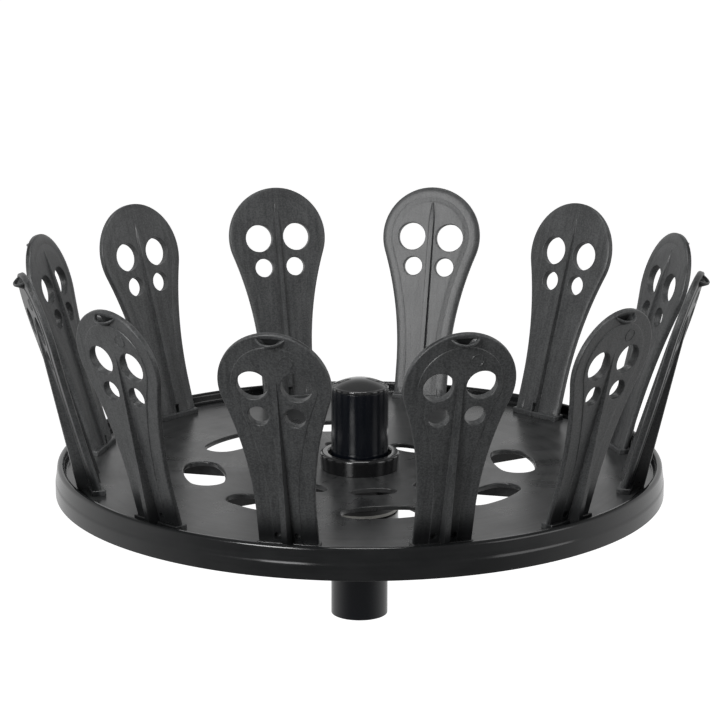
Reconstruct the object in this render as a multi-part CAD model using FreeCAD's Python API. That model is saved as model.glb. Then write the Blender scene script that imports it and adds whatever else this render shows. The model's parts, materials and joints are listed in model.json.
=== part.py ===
"""One revolving tier of a shoe carousel: a round tray on a pole with twelve plug-in shoe holders.

Frame: millimetres, +Z up along the pole, origin at the centre of the pole's lower end.
Angles are measured about +Z from +X. Each function below makes one piece in its place.
"""
import FreeCAD
import Part
import math
import os

Vector = FreeCAD.Vector

# ---- pole -------------------------------------------------------------------------------
TUBE_RADIUS = 19.05          # outside of the steel tube
TUBE_WALL = 1.2
TUBE_LENGTH = 156.5
CAP_EDGE_HEIGHT = 2.3        # rounded band of the cap above the tube
CAP_EDGE_ROUND = 1.0
CAP_DOME_RISE = 4.9
CAP_PLUG_DEPTH = 16.0
CAP_PLUG_WALL = 2.0
CAP_TOP_WALL = 2.2
SOCKET_BORE_RADIUS = 12.5    # takes the spigot of the pole section below
SOCKET_LENGTH = 45.0
SEAT_CLEARANCE = 0.05        # between pieces that are pressed together
SHOULDER_CLEARANCE = 0.3     # between curved faces that turn past each other

# ---- support on the pole ----------------------------------------------------------------
SUPPORT_RING_WIDTH = 7.0     # radial
SUPPORT_RING_HEIGHT = 16.0
SUPPORT_RING_ROUND = 1.5
SUPPORT_PIN_RADIUS = 2.5
SUPPORT_PIN_END_GAP = 0.6    # pin ends sit this far inside the ring
SUPPORT_PIN_ANGLE = 30.0     # in line with two of the tray's ribs
THRUST_WASHER_HEIGHT = 2.0

# ---- tray -------------------------------------------------------------------------------
TRAY_RADIUS = 203.2
RIM_BASE_Z = 88.0            # lower edge of the rim above the pole's lower end
RIM_HEIGHT = 20.9
RIM_LIP_WIDTH = 4.6
SKIRT_HEIGHT = 9.4           # straight band at the foot of the rim
SKIRT_WALL = 3.0
SHOULDER_SETBACK = 0.45      # radius lost at the shoulder above the skirt
SHOULDER_HEIGHT = 1.6
LIP_SETBACK = 1.6            # how far the lip's outer side leans in from the skirt
FLOOR_RISE = 14.0            # top of the floor above the rim's lower edge
FLOOR_THICKNESS = 3.0
HUB_WALL = 2.8
HUB_SKIRT = 21.0             # depth of the hub tube under the floor
RIB_COUNT = 8
RIB_THICKNESS = 2.2
RIB_LIFT = 0.9               # rib's lower edge above the rim's lower edge
RIB_START_ANGLE = 30.0

# ---- floor openings: (ring radius, half length, half width, end radius) ------------------
OPENING_COUNT = 8
OPENING_START_ANGLE = 7.5
OUTER_OPENING = (104.5, 28.0, 13.5, 11.5)
INNER_OPENING = (58.0, 15.0, 7.8, 6.0)
OPENING_CHAMFER = 0.8

# ---- bearing and collar -----------------------------------------------------------------
RUNNING_CLEARANCE = 0.06     # radial, bush on tube
BUSH_WALL = 1.8
BUSH_LENGTH = 12.0
BUSH_FLANGE_HEIGHT = 3.0
COLLAR_HEIGHT = 11.2
COLLAR_WALL = 3.4            # collar ring outside the hub bore
COLLAR_SLEEVE_WALL = 1.4
COLLAR_SLEEVE_DEPTH = 8.0
COLLAR_TAPER = 0.8           # radius lost from the top of the collar to its foot
COLLAR_ROUND = 1.9
UPPER_BUSH_DROP = 4.5        # top of the upper bush below the top of the collar

# ---- shoe holder ------------------------------------------------------------------------
HOLDER_COUNT = 12
HOLDER_START_ANGLE = 15.0
HOLDER_TILT = 16.9           # lean outward from upright
FOOT_INSET = 22.2            # tongue centre in from the tray's edge
HEAD_CENTRE = 117.9          # along the blade from the floor
HEAD_RADIUS = 35.5
FOOT_HALF_WIDTH = 19.1
STRAIGHT_LENGTH = 24.0       # parallel part of the blade above the floor
BLADE_BACK = 1.6             # inner face border from the mid-plane
BLADE_FRONT = 2.0            # outer face border from the mid-plane
BLADE_ROUND = 0.9
BACK_FIELD_INSET = 3.2       # where the bevel of the inner face starts
BACK_FIELD_BEVEL = 4.6
BACK_FIELD_RISE = 1.0
FRONT_FIELD_INSET = 5.9
FRONT_FIELD_FOOT_INSET = 9.7
FRONT_FIELD_STEP = 0.55
FRONT_FIELD_DRAFT = 0.5
LARGE_HOLE = (13.8, 117.0, 9.65)     # (side offset, height along the blade, radius)
SMALL_HOLE = (11.5, 95.6, 6.65)
HOLE_CHAMFER = 0.6
SPINE_TOP = 129.0            # outer spine fades out here
SPINE_RISE = 8.6             # at the floor
SPINE_FOOT_HALF = 3.0
SPINE_CREST_HALF = 1.8
RIDGE_TOP = 142.0            # inner ridge fades out here
RIDGE_RISE = 3.6
RIDGE_FOOT_HALF = 2.9
RIDGE_CREST_HALF = 1.7
TIP_SIZE = 0.15              # cross-section left where a spine or ridge ends
TAB_UNDER = 142.6            # underside of the thumb tab where it leaves the blade
TAB_TOP = 150.3              # its lip where it leaves the blade
TAB_TIP_UNDER = 147.5        # underside and lip at its tip
TAB_TIP_TOP = 149.0
TAB_HALF_WIDTH = 9.4
TAB_REACH = 6.0
TAB_WALL = 1.2
TAB_POCKET_DEPTH = 2.6
PEG_HOLE = (6.2, 9.2, 2.2, 2.4)      # (side offset, height, radius, depth)
NOTCH_HALF_WIDTH = 1.7
NOTCH_HEIGHT = 9.0
FLANGE_HALF_WIDTH = 20.1
FLANGE_INNER = 3.1           # reach towards the pole and away from it
FLANGE_OUTER = 5.7
FLANGE_HEIGHT = 4.0
FLANGE_CORNER = 1.0
FLANGE_ROUND = 0.8
FLANGE_GAP = 0.05            # flange underside to the tray's floor
TONGUE_HALF_WIDTH = 17.6
TONGUE_HALF_DEPTH = 3.4
TONGUE_LENGTH = 12.4
TONGUE_CHAMFER = 1.0
SLOT_CLEARANCE = 0.3
SLOT_WALL = 2.0
SLOT_SKIRT = 12.6            # socket depth below the floor's top

# ---- derived places ---------------------------------------------------------------------
FLOOR_Z = RIM_BASE_Z + FLOOR_RISE
FLOOR_UNDER_Z = FLOOR_Z - FLOOR_THICKNESS
RIB_UNDER_Z = RIM_BASE_Z + RIB_LIFT
BUSH_BORE_RADIUS = TUBE_RADIUS + RUNNING_CLEARANCE
BUSH_OUTER_RADIUS = BUSH_BORE_RADIUS + BUSH_WALL
SLEEVE_BORE_RADIUS = BUSH_OUTER_RADIUS + SEAT_CLEARANCE
SLEEVE_OUTER_RADIUS = SLEEVE_BORE_RADIUS + COLLAR_SLEEVE_WALL
HUB_BORE_RADIUS = SLEEVE_OUTER_RADIUS + SEAT_CLEARANCE
HUB_OUTER_RADIUS = HUB_BORE_RADIUS + HUB_WALL
HUB_UNDER_Z = FLOOR_UNDER_Z - HUB_SKIRT
COLLAR_TOP_Z = FLOOR_Z + COLLAR_HEIGHT
LOWER_BUSH_UNDER_Z = HUB_UNDER_Z - BUSH_FLANGE_HEIGHT
WASHER_UNDER_Z = LOWER_BUSH_UNDER_Z - THRUST_WASHER_HEIGHT
SUPPORT_UNDER_Z = WASHER_UNDER_Z - SUPPORT_RING_HEIGHT
SUPPORT_BORE_RADIUS = TUBE_RADIUS + SEAT_CLEARANCE
SUPPORT_OUTER_RADIUS = SUPPORT_BORE_RADIUS + SUPPORT_RING_WIDTH
SUPPORT_PIN_Z = SUPPORT_UNDER_Z + SUPPORT_RING_HEIGHT / 2
TUBE_BORE_RADIUS = TUBE_RADIUS - TUBE_WALL
FOOT_RADIUS = TRAY_RADIUS - FOOT_INSET
OVERLAP = 0.5                # how far added solids reach into each other before they are fused


def line(start, end):
    """A straight edge between two points."""
    return Part.LineSegment(Vector(*start), Vector(*end)).toShape()


def arc(start, middle, end):
    """A circular edge through three points."""
    return Part.Arc(Vector(*start), Vector(*middle), Vector(*end)).toShape()


def turned(edges):
    """A solid of revolution about the pole's axis from edges in the XZ plane."""
    face = Part.Face(Part.Wire(edges))
    return face.revolve(Vector(0, 0, 0), Vector(0, 0, 1), 360)


def turned_polygon(points):
    """A solid of revolution from a closed polygon of (radius, height) points."""
    corners = [Vector(radius, 0, height) for radius, height in points]
    return turned(Part.makePolygon(corners + corners[:1]).Edges)


def tube(outer, inner, low, high):
    """A plain ring about the pole's axis."""
    body = Part.makeCylinder(outer, high - low, Vector(0, 0, low))
    return body.cut(Part.makeCylinder(inner, high - low, Vector(0, 0, low)))


def block(low, high):
    """A box between two corners."""
    size = [b - a for a, b in zip(low, high)]
    return Part.makeBox(size[0], size[1], size[2], Vector(*low))


def turned_to(shape, angle):
    """A copy of a shape, turned about the pole's axis by an angle in degrees."""
    copy = shape.copy()
    copy.rotate(Vector(0, 0, 0), Vector(0, 0, 1), angle)
    return copy


def around(shape, count, start):
    """Copies of a shape at equal steps about the pole's axis."""
    return [turned_to(shape, start + step * 360.0 / count) for step in range(count)]


def edges_at_height(shape, height, tolerance=1e-4):
    """The edges of a shape that lie in the plane Z = height."""
    return [edge for edge in shape.Edges
            if abs(edge.BoundBox.ZMin - height) < tolerance and abs(edge.BoundBox.ZMax - height) < tolerance]


# ---- pole body --------------------------------------------------------------------------
def pole_tube():
    """The steel tube, with a cross hole for the support pin."""
    body = tube(TUBE_RADIUS, TUBE_BORE_RADIUS, 0, TUBE_LENGTH)
    return body.cut(cross_pin(SUPPORT_PIN_RADIUS + SEAT_CLEARANCE, TUBE_RADIUS + 1))


def cross_pin(radius, half_length):
    """A rod across the pole's axis at the support's height."""
    rod = Part.makeCylinder(radius, 2 * half_length, Vector(-half_length, 0, SUPPORT_PIN_Z), Vector(1, 0, 0))
    return turned_to(rod, SUPPORT_PIN_ANGLE)


def pole_cap():
    """Domed cap: a plug in the tube, a rounded band on its end and a low dome on top."""
    plug_radius = TUBE_BORE_RADIUS - SEAT_CLEARANCE
    bore_radius = plug_radius - CAP_PLUG_WALL
    low = TUBE_LENGTH - CAP_PLUG_DEPTH
    seat = TUBE_LENGTH
    band_top = seat + CAP_EDGE_HEIGHT
    shoulder = TUBE_RADIUS - CAP_EDGE_ROUND
    apex = band_top + CAP_DOME_RISE
    dome_radius = (shoulder ** 2 + CAP_DOME_RISE ** 2) / (2 * CAP_DOME_RISE)
    half = shoulder / 2
    half_height = apex - dome_radius + math.sqrt(dome_radius ** 2 - half ** 2)
    corner = CAP_EDGE_ROUND * (1 - math.sqrt(0.5))
    edges = [
        line((bore_radius, 0, low), (plug_radius, 0, low)),
        line((plug_radius, 0, low), (plug_radius, 0, seat)),
        line((plug_radius, 0, seat), (TUBE_RADIUS, 0, seat)),
        line((TUBE_RADIUS, 0, seat), (TUBE_RADIUS, 0, band_top - CAP_EDGE_ROUND)),
        arc((TUBE_RADIUS, 0, band_top - CAP_EDGE_ROUND), (TUBE_RADIUS - corner, 0, band_top - corner),
            (shoulder, 0, band_top)),
        arc((shoulder, 0, band_top), (half, 0, half_height), (0, 0, apex)),
        line((0, 0, apex), (0, 0, band_top - CAP_TOP_WALL)),
        line((0, 0, band_top - CAP_TOP_WALL), (bore_radius, 0, band_top - CAP_TOP_WALL)),
        line((bore_radius, 0, band_top - CAP_TOP_WALL), (bore_radius, 0, low)),
    ]
    return turned(edges)


def pole_socket():
    """Sleeve in the tube's lower end that takes the spigot of the next pole section."""
    return tube(TUBE_BORE_RADIUS - SEAT_CLEARANCE, SOCKET_BORE_RADIUS, 0, SOCKET_LENGTH)


def support_ring():
    """Ring pinned to the pole that carries the tray."""
    body = tube(SUPPORT_OUTER_RADIUS, SUPPORT_BORE_RADIUS, SUPPORT_UNDER_Z, WASHER_UNDER_Z)
    rims = [edge for edge in edges_at_height(body, SUPPORT_UNDER_Z) + edges_at_height(body, WASHER_UNDER_Z)
            if edge.BoundBox.XMax > SUPPORT_OUTER_RADIUS - 0.1]
    body = body.makeFillet(SUPPORT_RING_ROUND, rims)
    return body.cut(cross_pin(SUPPORT_PIN_RADIUS + SEAT_CLEARANCE, SUPPORT_OUTER_RADIUS + 1))


def support_pin():
    """Cross pin through the ring and the tube."""
    return cross_pin(SUPPORT_PIN_RADIUS, SUPPORT_OUTER_RADIUS - SUPPORT_PIN_END_GAP)


def thrust_washer():
    """Low-friction washer on the support ring, under the lower bush."""
    return tube(HUB_OUTER_RADIUS, SUPPORT_BORE_RADIUS, WASHER_UNDER_Z, LOWER_BUSH_UNDER_Z)


# ---- tray body --------------------------------------------------------------------------
def lower_bush():
    """Flanged bush in the foot of the hub; its flange bears on the washer."""
    step_radius = HUB_BORE_RADIUS - SEAT_CLEARANCE
    points = [
        (BUSH_BORE_RADIUS, LOWER_BUSH_UNDER_Z),
        (HUB_OUTER_RADIUS, LOWER_BUSH_UNDER_Z),
        (HUB_OUTER_RADIUS, HUB_UNDER_Z),
        (step_radius, HUB_UNDER_Z),
        (step_radius, HUB_UNDER_Z + BUSH_LENGTH),
        (BUSH_BORE_RADIUS, HUB_UNDER_Z + BUSH_LENGTH),
    ]
    return turned_polygon(points)


def upper_bush():
    """Plain bush inside the collar, running on the tube."""
    high = COLLAR_TOP_Z - UPPER_BUSH_DROP
    return tube(BUSH_OUTER_RADIUS, BUSH_BORE_RADIUS, high - BUSH_LENGTH, high)


def hub_collar():
    """Ring that stands on the tray's floor, with a sleeve down inside the hub."""
    foot_radius = HUB_BORE_RADIUS + COLLAR_WALL
    top_radius = foot_radius + COLLAR_TAPER
    low = FLOOR_Z - COLLAR_SLEEVE_DEPTH
    corner = COLLAR_ROUND * (1 - math.sqrt(0.5))
    outer_start = COLLAR_TOP_Z - COLLAR_ROUND
    crest_outer = top_radius - COLLAR_ROUND
    crest_inner = SLEEVE_BORE_RADIUS + COLLAR_ROUND
    edges = [
        line((SLEEVE_BORE_RADIUS, 0, low), (SLEEVE_OUTER_RADIUS, 0, low)),
        line((SLEEVE_OUTER_RADIUS, 0, low), (SLEEVE_OUTER_RADIUS, 0, FLOOR_Z)),
        line((SLEEVE_OUTER_RADIUS, 0, FLOOR_Z), (foot_radius, 0, FLOOR_Z)),
        line((foot_radius, 0, FLOOR_Z), (top_radius, 0, outer_start)),
        arc((top_radius, 0, outer_start), (top_radius - corner, 0, COLLAR_TOP_Z - corner),
            (crest_outer, 0, COLLAR_TOP_Z)),
        line((crest_outer, 0, COLLAR_TOP_Z), (crest_inner, 0, COLLAR_TOP_Z)),
        arc((crest_inner, 0, COLLAR_TOP_Z), (SLEEVE_BORE_RADIUS + corner, 0, COLLAR_TOP_Z - corner),
            (SLEEVE_BORE_RADIUS, 0, outer_start)),
        line((SLEEVE_BORE_RADIUS, 0, outer_start), (SLEEVE_BORE_RADIUS, 0, low)),
    ]
    return turned(edges)


def rim():
    """Rim of the tray: straight skirt, low shoulder, leaning wall and rounded lip."""
    inner = TRAY_RADIUS - LIP_SETBACK - RIM_LIP_WIDTH
    lip_outer = TRAY_RADIUS - LIP_SETBACK
    lip_round = RIM_LIP_WIDTH / 2
    top = RIM_BASE_Z + RIM_HEIGHT
    shoulder = top - lip_round
    skirt_top = RIM_BASE_Z + SKIRT_HEIGHT
    wall_foot = skirt_top + SHOULDER_HEIGHT
    skirt_inner = TRAY_RADIUS - SKIRT_WALL
    edges = [
        line((skirt_inner, 0, RIM_BASE_Z), (TRAY_RADIUS, 0, RIM_BASE_Z)),
        line((TRAY_RADIUS, 0, RIM_BASE_Z), (TRAY_RADIUS, 0, skirt_top)),
        line((TRAY_RADIUS, 0, skirt_top), (TRAY_RADIUS - SHOULDER_SETBACK, 0, wall_foot)),
        line((TRAY_RADIUS - SHOULDER_SETBACK, 0, wall_foot), (lip_outer, 0, shoulder)),
        arc((lip_outer, 0, shoulder), (lip_outer - lip_round, 0, top), (inner, 0, shoulder)),
        line((inner, 0, shoulder), (inner, 0, FLOOR_UNDER_Z)),
        line((inner, 0, FLOOR_UNDER_Z), (skirt_inner, 0, FLOOR_UNDER_Z - RIM_LIP_WIDTH / 2)),
        line((skirt_inner, 0, FLOOR_UNDER_Z - RIM_LIP_WIDTH / 2), (skirt_inner, 0, RIM_BASE_Z)),
    ]
    return turned(edges)


def oval(opening, grow, height):
    """Closed four-arc oval in a level plane; its long side runs along Y."""
    ring, half_length, half_width, end_radius = opening
    end = half_length - end_radius
    side_radius = (half_width ** 2 + end ** 2 - end_radius ** 2) / (2 * (half_width - end_radius))
    centre_x = side_radius - half_width
    slope = math.atan2(end, centre_x)
    radius = end_radius + grow
    touch_x = radius * math.cos(slope)
    touch_y = end + radius * math.sin(slope)
    side_x = half_width + grow
    end_y = half_length + grow
    edges = [
        arc((ring + touch_x, -touch_y, height), (ring + side_x, 0, height), (ring + touch_x, touch_y, height)),
        arc((ring + touch_x, touch_y, height), (ring, end_y, height), (ring - touch_x, touch_y, height)),
        arc((ring - touch_x, touch_y, height), (ring - side_x, 0, height), (ring - touch_x, -touch_y, height)),
        arc((ring - touch_x, -touch_y, height), (ring, -end_y, height), (ring + touch_x, -touch_y, height)),
    ]
    return Part.Wire(edges)


def opening_cutter(opening):
    """Cutter for one floor opening, flared at the floor's top for a broken edge."""
    through = FLOOR_THICKNESS + 2 * OVERLAP
    shaft = Part.Face(oval(opening, 0, FLOOR_UNDER_Z - OVERLAP)).extrude(Vector(0, 0, through))
    flare = Part.makeLoft([oval(opening, 0, FLOOR_Z - OPENING_CHAMFER), oval(opening, OPENING_CHAMFER, FLOOR_Z)],
                          True, True)
    return shaft.fuse(flare)


def slot_block(grow, low, high):
    """Upright block over one holder's tongue, grown on its four sides."""
    depth = TONGUE_HALF_DEPTH + grow
    width = TONGUE_HALF_WIDTH + grow
    return block((FOOT_RADIUS - depth, -width, low), (FOOT_RADIUS + depth, width, high))


def tray():
    """Moulded tray: floor, rim, hub tube, ribs and twelve sockets, cut by its openings."""
    floor = Part.makeCylinder(TRAY_RADIUS - SKIRT_WALL, FLOOR_THICKNESS, Vector(0, 0, FLOOR_UNDER_Z))
    hub = Part.makeCylinder(HUB_OUTER_RADIUS, HUB_SKIRT + OVERLAP, Vector(0, 0, HUB_UNDER_Z))
    rib = block((HUB_BORE_RADIUS + HUB_WALL / 2, -RIB_THICKNESS / 2, RIB_UNDER_Z),
                (TRAY_RADIUS - SKIRT_WALL / 2, RIB_THICKNESS / 2, FLOOR_UNDER_Z + OVERLAP))
    socket = slot_block(SLOT_CLEARANCE + SLOT_WALL, FLOOR_Z - SLOT_SKIRT, FLOOR_UNDER_Z + OVERLAP)
    added = [rim(), hub]
    added += around(rib, RIB_COUNT, RIB_START_ANGLE)
    added += around(socket, HOLDER_COUNT, HOLDER_START_ANGLE)
    body = floor.multiFuse(added)
    slot = slot_block(SLOT_CLEARANCE, RIM_BASE_Z - 1, FLOOR_Z + 1)
    bore = Part.makeCylinder(HUB_BORE_RADIUS, 2 * RIM_BASE_Z, Vector(0, 0, 0))
    cutters = [bore]
    cutters += around(slot, HOLDER_COUNT, HOLDER_START_ANGLE)
    for opening in (OUTER_OPENING, INNER_OPENING):
        cutters += around(opening_cutter(opening), OPENING_COUNT, OPENING_START_ANGLE)
    return body.cut(cutters).removeSplitter()


# ---- shoe holder ------------------------------------------------------------------------
# The blade is drawn in its own frame: X across, Y up along the blade from the floor, Z outward.
BLADE_BOTTOM = -8.0          # the blade starts below the floor and is trimmed level with it


def blade_outline(head_radius, half_width, height):
    """Closed outline: straight foot, hollow sides and a round head, all tangent."""
    drop = HEAD_CENTRE - STRAIGHT_LENGTH
    hollow = (drop ** 2 + half_width ** 2 - head_radius ** 2) / (2 * (head_radius - half_width))
    centre_x = half_width + hollow
    reach = hollow + head_radius
    touch_x = centre_x * head_radius / reach
    touch_y = HEAD_CENTRE - drop * head_radius / reach
    middle = math.asin(drop / reach) / 2
    middle_x = centre_x - hollow * math.cos(middle)
    middle_y = STRAIGHT_LENGTH + hollow * math.sin(middle)
    edges = [
        line((-half_width, BLADE_BOTTOM, height), (half_width, BLADE_BOTTOM, height)),
        line((half_width, BLADE_BOTTOM, height), (half_width, STRAIGHT_LENGTH, height)),
        arc((half_width, STRAIGHT_LENGTH, height), (middle_x, middle_y, height), (touch_x, touch_y, height)),
        arc((touch_x, touch_y, height), (0, HEAD_CENTRE + head_radius, height), (-touch_x, touch_y, height)),
        arc((-touch_x, touch_y, height), (-middle_x, middle_y, height), (-half_width, STRAIGHT_LENGTH, height)),
        line((-half_width, STRAIGHT_LENGTH, height), (-half_width, BLADE_BOTTOM, height)),
    ]
    return Part.Wire(edges)


def inset_outline(inset, height):
    """The blade's outline moved in by the same amount all round."""
    return blade_outline(HEAD_RADIUS - inset, FOOT_HALF_WIDTH - inset, height)


def tapered_bar(foot_half, crest_half, base, rise, top):
    """A bar on the blade's centre line that fades to nothing at its top end."""
    lean = rise / (top - BLADE_BOTTOM)
    sections = []
    for along, scale in ((BLADE_BOTTOM, 1.0), (top, TIP_SIZE / abs(rise))):
        crest = base + rise * scale
        foot = foot_half * max(scale, 0.12)
        peak = crest_half * max(scale, 0.12)
        root = base - math.copysign(OVERLAP, lean)
        corners = [Vector(-foot, along, root), Vector(foot, along, root),
                   Vector(peak, along, crest), Vector(-peak, along, crest)]
        sections.append(Part.makePolygon(corners + corners[:1]))
    return Part.makeLoft(sections, True, True)


def hole_cutter(place):
    """Cutters for a pair of round holes with broken edges on both faces."""
    side, along, radius = place
    back = -BLADE_BACK - BACK_FIELD_RISE
    front = BLADE_FRONT + FRONT_FIELD_STEP
    cutters = []
    for sign in (-1, 1):
        start = Vector(sign * side, along, back - 1)
        cutters.append(Part.makeCylinder(radius, front - back + 2, start))
        for face, out in ((back, -1), (front, 1)):
            mouth = Vector(sign * side, along, face - out * HOLE_CHAMFER)
            cutters.append(Part.makeCone(radius, radius + 2 * HOLE_CHAMFER, 2 * HOLE_CHAMFER, mouth,
                                         Vector(0, 0, out)))
    return cutters


def above_slope(foot, tip):
    """Everything above a plane across the tab, given by its heights at the blade and at the tip."""
    base = BLADE_FRONT
    slope = (tip - foot) / TAB_REACH
    far = TAB_REACH + 2
    corners = [Vector(-2 * TAB_HALF_WIDTH, foot - 2 * slope, base - 2),
               Vector(-2 * TAB_HALF_WIDTH, foot + far * slope, base + far),
               Vector(-2 * TAB_HALF_WIDTH, foot + 4 * TAB_REACH, base + far),
               Vector(-2 * TAB_HALF_WIDTH, foot + 4 * TAB_REACH, base - 2)]
    return Part.Face(Part.makePolygon(corners + corners[:1])).extrude(Vector(4 * TAB_HALF_WIDTH, 0, 0))


def thumb_tab():
    """Half-moon scoop on the outer face near the tip, with a slanting lip, hollowed from above."""
    base = BLADE_FRONT

    def half_moon(shrink):
        """Upright half-moon, drawn in by shrink, over the tab's whole height."""
        half = TAB_HALF_WIDTH - shrink
        edges = [
            line((-half, TAB_UNDER, base), (half, TAB_UNDER, base)),
            arc((half, TAB_UNDER, base), (0, TAB_UNDER, base + TAB_REACH - shrink), (-half, TAB_UNDER, base)),
        ]
        return Part.Face(Part.Wire(edges)).extrude(Vector(0, TAB_TOP - TAB_UNDER, 0))

    body = half_moon(0).common(above_slope(TAB_UNDER, TAB_TIP_UNDER)).cut(above_slope(TAB_TOP, TAB_TIP_TOP))
    pocket = half_moon(TAB_WALL).common(above_slope(TAB_TOP - TAB_POCKET_DEPTH, TAB_TIP_TOP - TAB_POCKET_DEPTH))
    root = block((-TAB_HALF_WIDTH + 0.5, TAB_UNDER + 1, base - OVERLAP),
                 (TAB_HALF_WIDTH - 0.5, TAB_TOP - 1, base))
    return body.cut(pocket).fuse(root)


def blade():
    """The blade in its own frame, with fields, spine, ridge, tab and holes."""
    plate = Part.Face(inset_outline(0, -BLADE_BACK)).extrude(Vector(0, 0, BLADE_BACK + BLADE_FRONT))
    rims = edges_at_height(plate, -BLADE_BACK) + edges_at_height(plate, BLADE_FRONT)
    plate = plate.makeFillet(BLADE_ROUND, rims)
    back_field = Part.makeLoft([inset_outline(BACK_FIELD_INSET, -BLADE_BACK),
                                inset_outline(BACK_FIELD_INSET + BACK_FIELD_BEVEL, -BLADE_BACK - BACK_FIELD_RISE)],
                               True, True)
    front_field = Part.makeLoft([
        blade_outline(HEAD_RADIUS - FRONT_FIELD_INSET, FOOT_HALF_WIDTH - FRONT_FIELD_FOOT_INSET, BLADE_FRONT),
        blade_outline(HEAD_RADIUS - FRONT_FIELD_INSET - FRONT_FIELD_DRAFT,
                      FOOT_HALF_WIDTH - FRONT_FIELD_FOOT_INSET - FRONT_FIELD_DRAFT,
                      BLADE_FRONT + FRONT_FIELD_STEP)], True, True)
    spine = tapered_bar(SPINE_FOOT_HALF, SPINE_CREST_HALF, BLADE_FRONT + FRONT_FIELD_STEP, SPINE_RISE, SPINE_TOP)
    ridge = tapered_bar(RIDGE_FOOT_HALF, RIDGE_CREST_HALF, -BLADE_BACK - BACK_FIELD_RISE, -RIDGE_RISE, RIDGE_TOP)
    body = plate.multiFuse([back_field, front_field, spine, ridge, thumb_tab()])
    side, along, radius, depth = PEG_HOLE
    front = BLADE_FRONT + FRONT_FIELD_STEP
    cutters = [Part.makeCylinder(radius, depth + 4, Vector(sign * side, along, front - depth)) for sign in (-1, 1)]
    cutters += hole_cutter(LARGE_HOLE)
    cutters += hole_cutter(SMALL_HOLE)
    notch_back = -BLADE_BACK - BACK_FIELD_RISE
    cutters.append(block((-NOTCH_HALF_WIDTH, BLADE_BOTTOM - 1, notch_back - 2 * RIDGE_RISE),
                         (NOTCH_HALF_WIDTH, NOTCH_HEIGHT, notch_back)))
    return body.cut(cutters)


def foot():
    """Foot of a holder at angle zero: flange on the floor and the tongue under it."""
    low = FLOOR_Z + FLANGE_GAP
    flange = block((FOOT_RADIUS - FLANGE_INNER, -FLANGE_HALF_WIDTH, low),
                   (FOOT_RADIUS + FLANGE_OUTER, FLANGE_HALF_WIDTH, low + FLANGE_HEIGHT))
    corners = [edge for edge in flange.Edges if edge.BoundBox.ZLength > FLANGE_HEIGHT / 2]
    flange = flange.makeFillet(FLANGE_CORNER, corners)
    flange = flange.makeFillet(FLANGE_ROUND, edges_at_height(flange, low + FLANGE_HEIGHT))
    tongue = slot_block(0, FLOOR_Z - TONGUE_LENGTH, low + OVERLAP)
    tongue = tongue.makeChamfer(TONGUE_CHAMFER, edges_at_height(tongue, FLOOR_Z - TONGUE_LENGTH))
    return flange.fuse(tongue)


def shoe_holder():
    """One holder at angle zero, ready to be turned to its place."""
    tilt = math.radians(HOLDER_TILT)
    sine = math.sin(tilt)
    cosine = math.cos(tilt)
    matrix = FreeCAD.Matrix(0, sine, cosine, FOOT_RADIUS,
                            1, 0, 0, 0,
                            0, cosine, -sine, FLOOR_Z,
                            0, 0, 0, 1)
    upright = blade().transformShape(matrix)
    reach = HEAD_CENTRE + HEAD_RADIUS
    below = block((FOOT_RADIUS - reach, -reach, 0), (FOOT_RADIUS + reach, reach, FLOOR_Z + FLANGE_GAP))
    return upright.cut(below).fuse(foot()).removeSplitter()


def main():
    """Make every piece and write it to its own STEP file."""
    pieces = {
        "pole_tube": pole_tube(),
        "pole_cap": pole_cap(),
        "pole_socket": pole_socket(),
        "support_ring": support_ring(),
        "support_pin": support_pin(),
        "thrust_washer": thrust_washer(),
        "lower_bush": lower_bush(),
        "upper_bush": upper_bush(),
        "hub_collar": hub_collar(),
        "tray": tray(),
    }
    holder = shoe_holder()
    for number, placed in enumerate(around(holder, HOLDER_COUNT, HOLDER_START_ANGLE), start=1):
        pieces["shoe_holder_%02d" % number] = placed
    os.makedirs("parts", exist_ok=True)
    for name, shape in pieces.items():
        solids = len(shape.Solids)
        print("%-16s solids %d valid %s volume %.1f mm3" % (name, solids, shape.isValid(), shape.Volume))
        shape.exportStep("parts/%s.step" % name)


main()
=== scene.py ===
"""Finished look of one revolving tier of a shoe carousel.

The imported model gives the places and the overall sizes. Each class below is one sub-assembly: it
holds its sizes, in millimetres, builds its meshes and dresses them. Meshes are written in metres.
"""
import json
import logging
import math
from dataclasses import dataclass, field
from enum import Enum
from typing import Callable, Iterable

import bmesh
import bpy
from mathutils import Matrix, Vector, geometry, kdtree


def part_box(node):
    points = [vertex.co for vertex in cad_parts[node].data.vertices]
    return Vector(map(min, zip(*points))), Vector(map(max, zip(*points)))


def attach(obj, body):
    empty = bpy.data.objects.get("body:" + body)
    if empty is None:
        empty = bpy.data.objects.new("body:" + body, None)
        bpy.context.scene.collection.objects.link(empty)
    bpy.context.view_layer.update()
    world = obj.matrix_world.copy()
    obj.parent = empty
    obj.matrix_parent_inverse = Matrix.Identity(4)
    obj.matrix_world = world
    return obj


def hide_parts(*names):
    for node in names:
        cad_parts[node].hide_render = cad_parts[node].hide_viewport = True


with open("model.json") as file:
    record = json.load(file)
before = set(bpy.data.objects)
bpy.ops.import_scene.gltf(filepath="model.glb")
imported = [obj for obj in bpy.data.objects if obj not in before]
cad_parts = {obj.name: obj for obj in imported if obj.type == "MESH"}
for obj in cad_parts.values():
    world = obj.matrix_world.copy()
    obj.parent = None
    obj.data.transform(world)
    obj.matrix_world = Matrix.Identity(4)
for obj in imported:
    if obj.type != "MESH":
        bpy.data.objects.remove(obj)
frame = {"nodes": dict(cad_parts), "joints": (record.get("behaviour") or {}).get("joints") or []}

MM = 0.001
WELD = 0.004  # points nearer than this, in millimetres, become one
SAME_SPOT = 1e-5  # corners nearer than this would make a face without an area
SEAT_GAP = 0.02  # keeps a seated face out of the plane of the face under it
SHARP_ANGLE = math.radians(38)
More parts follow.
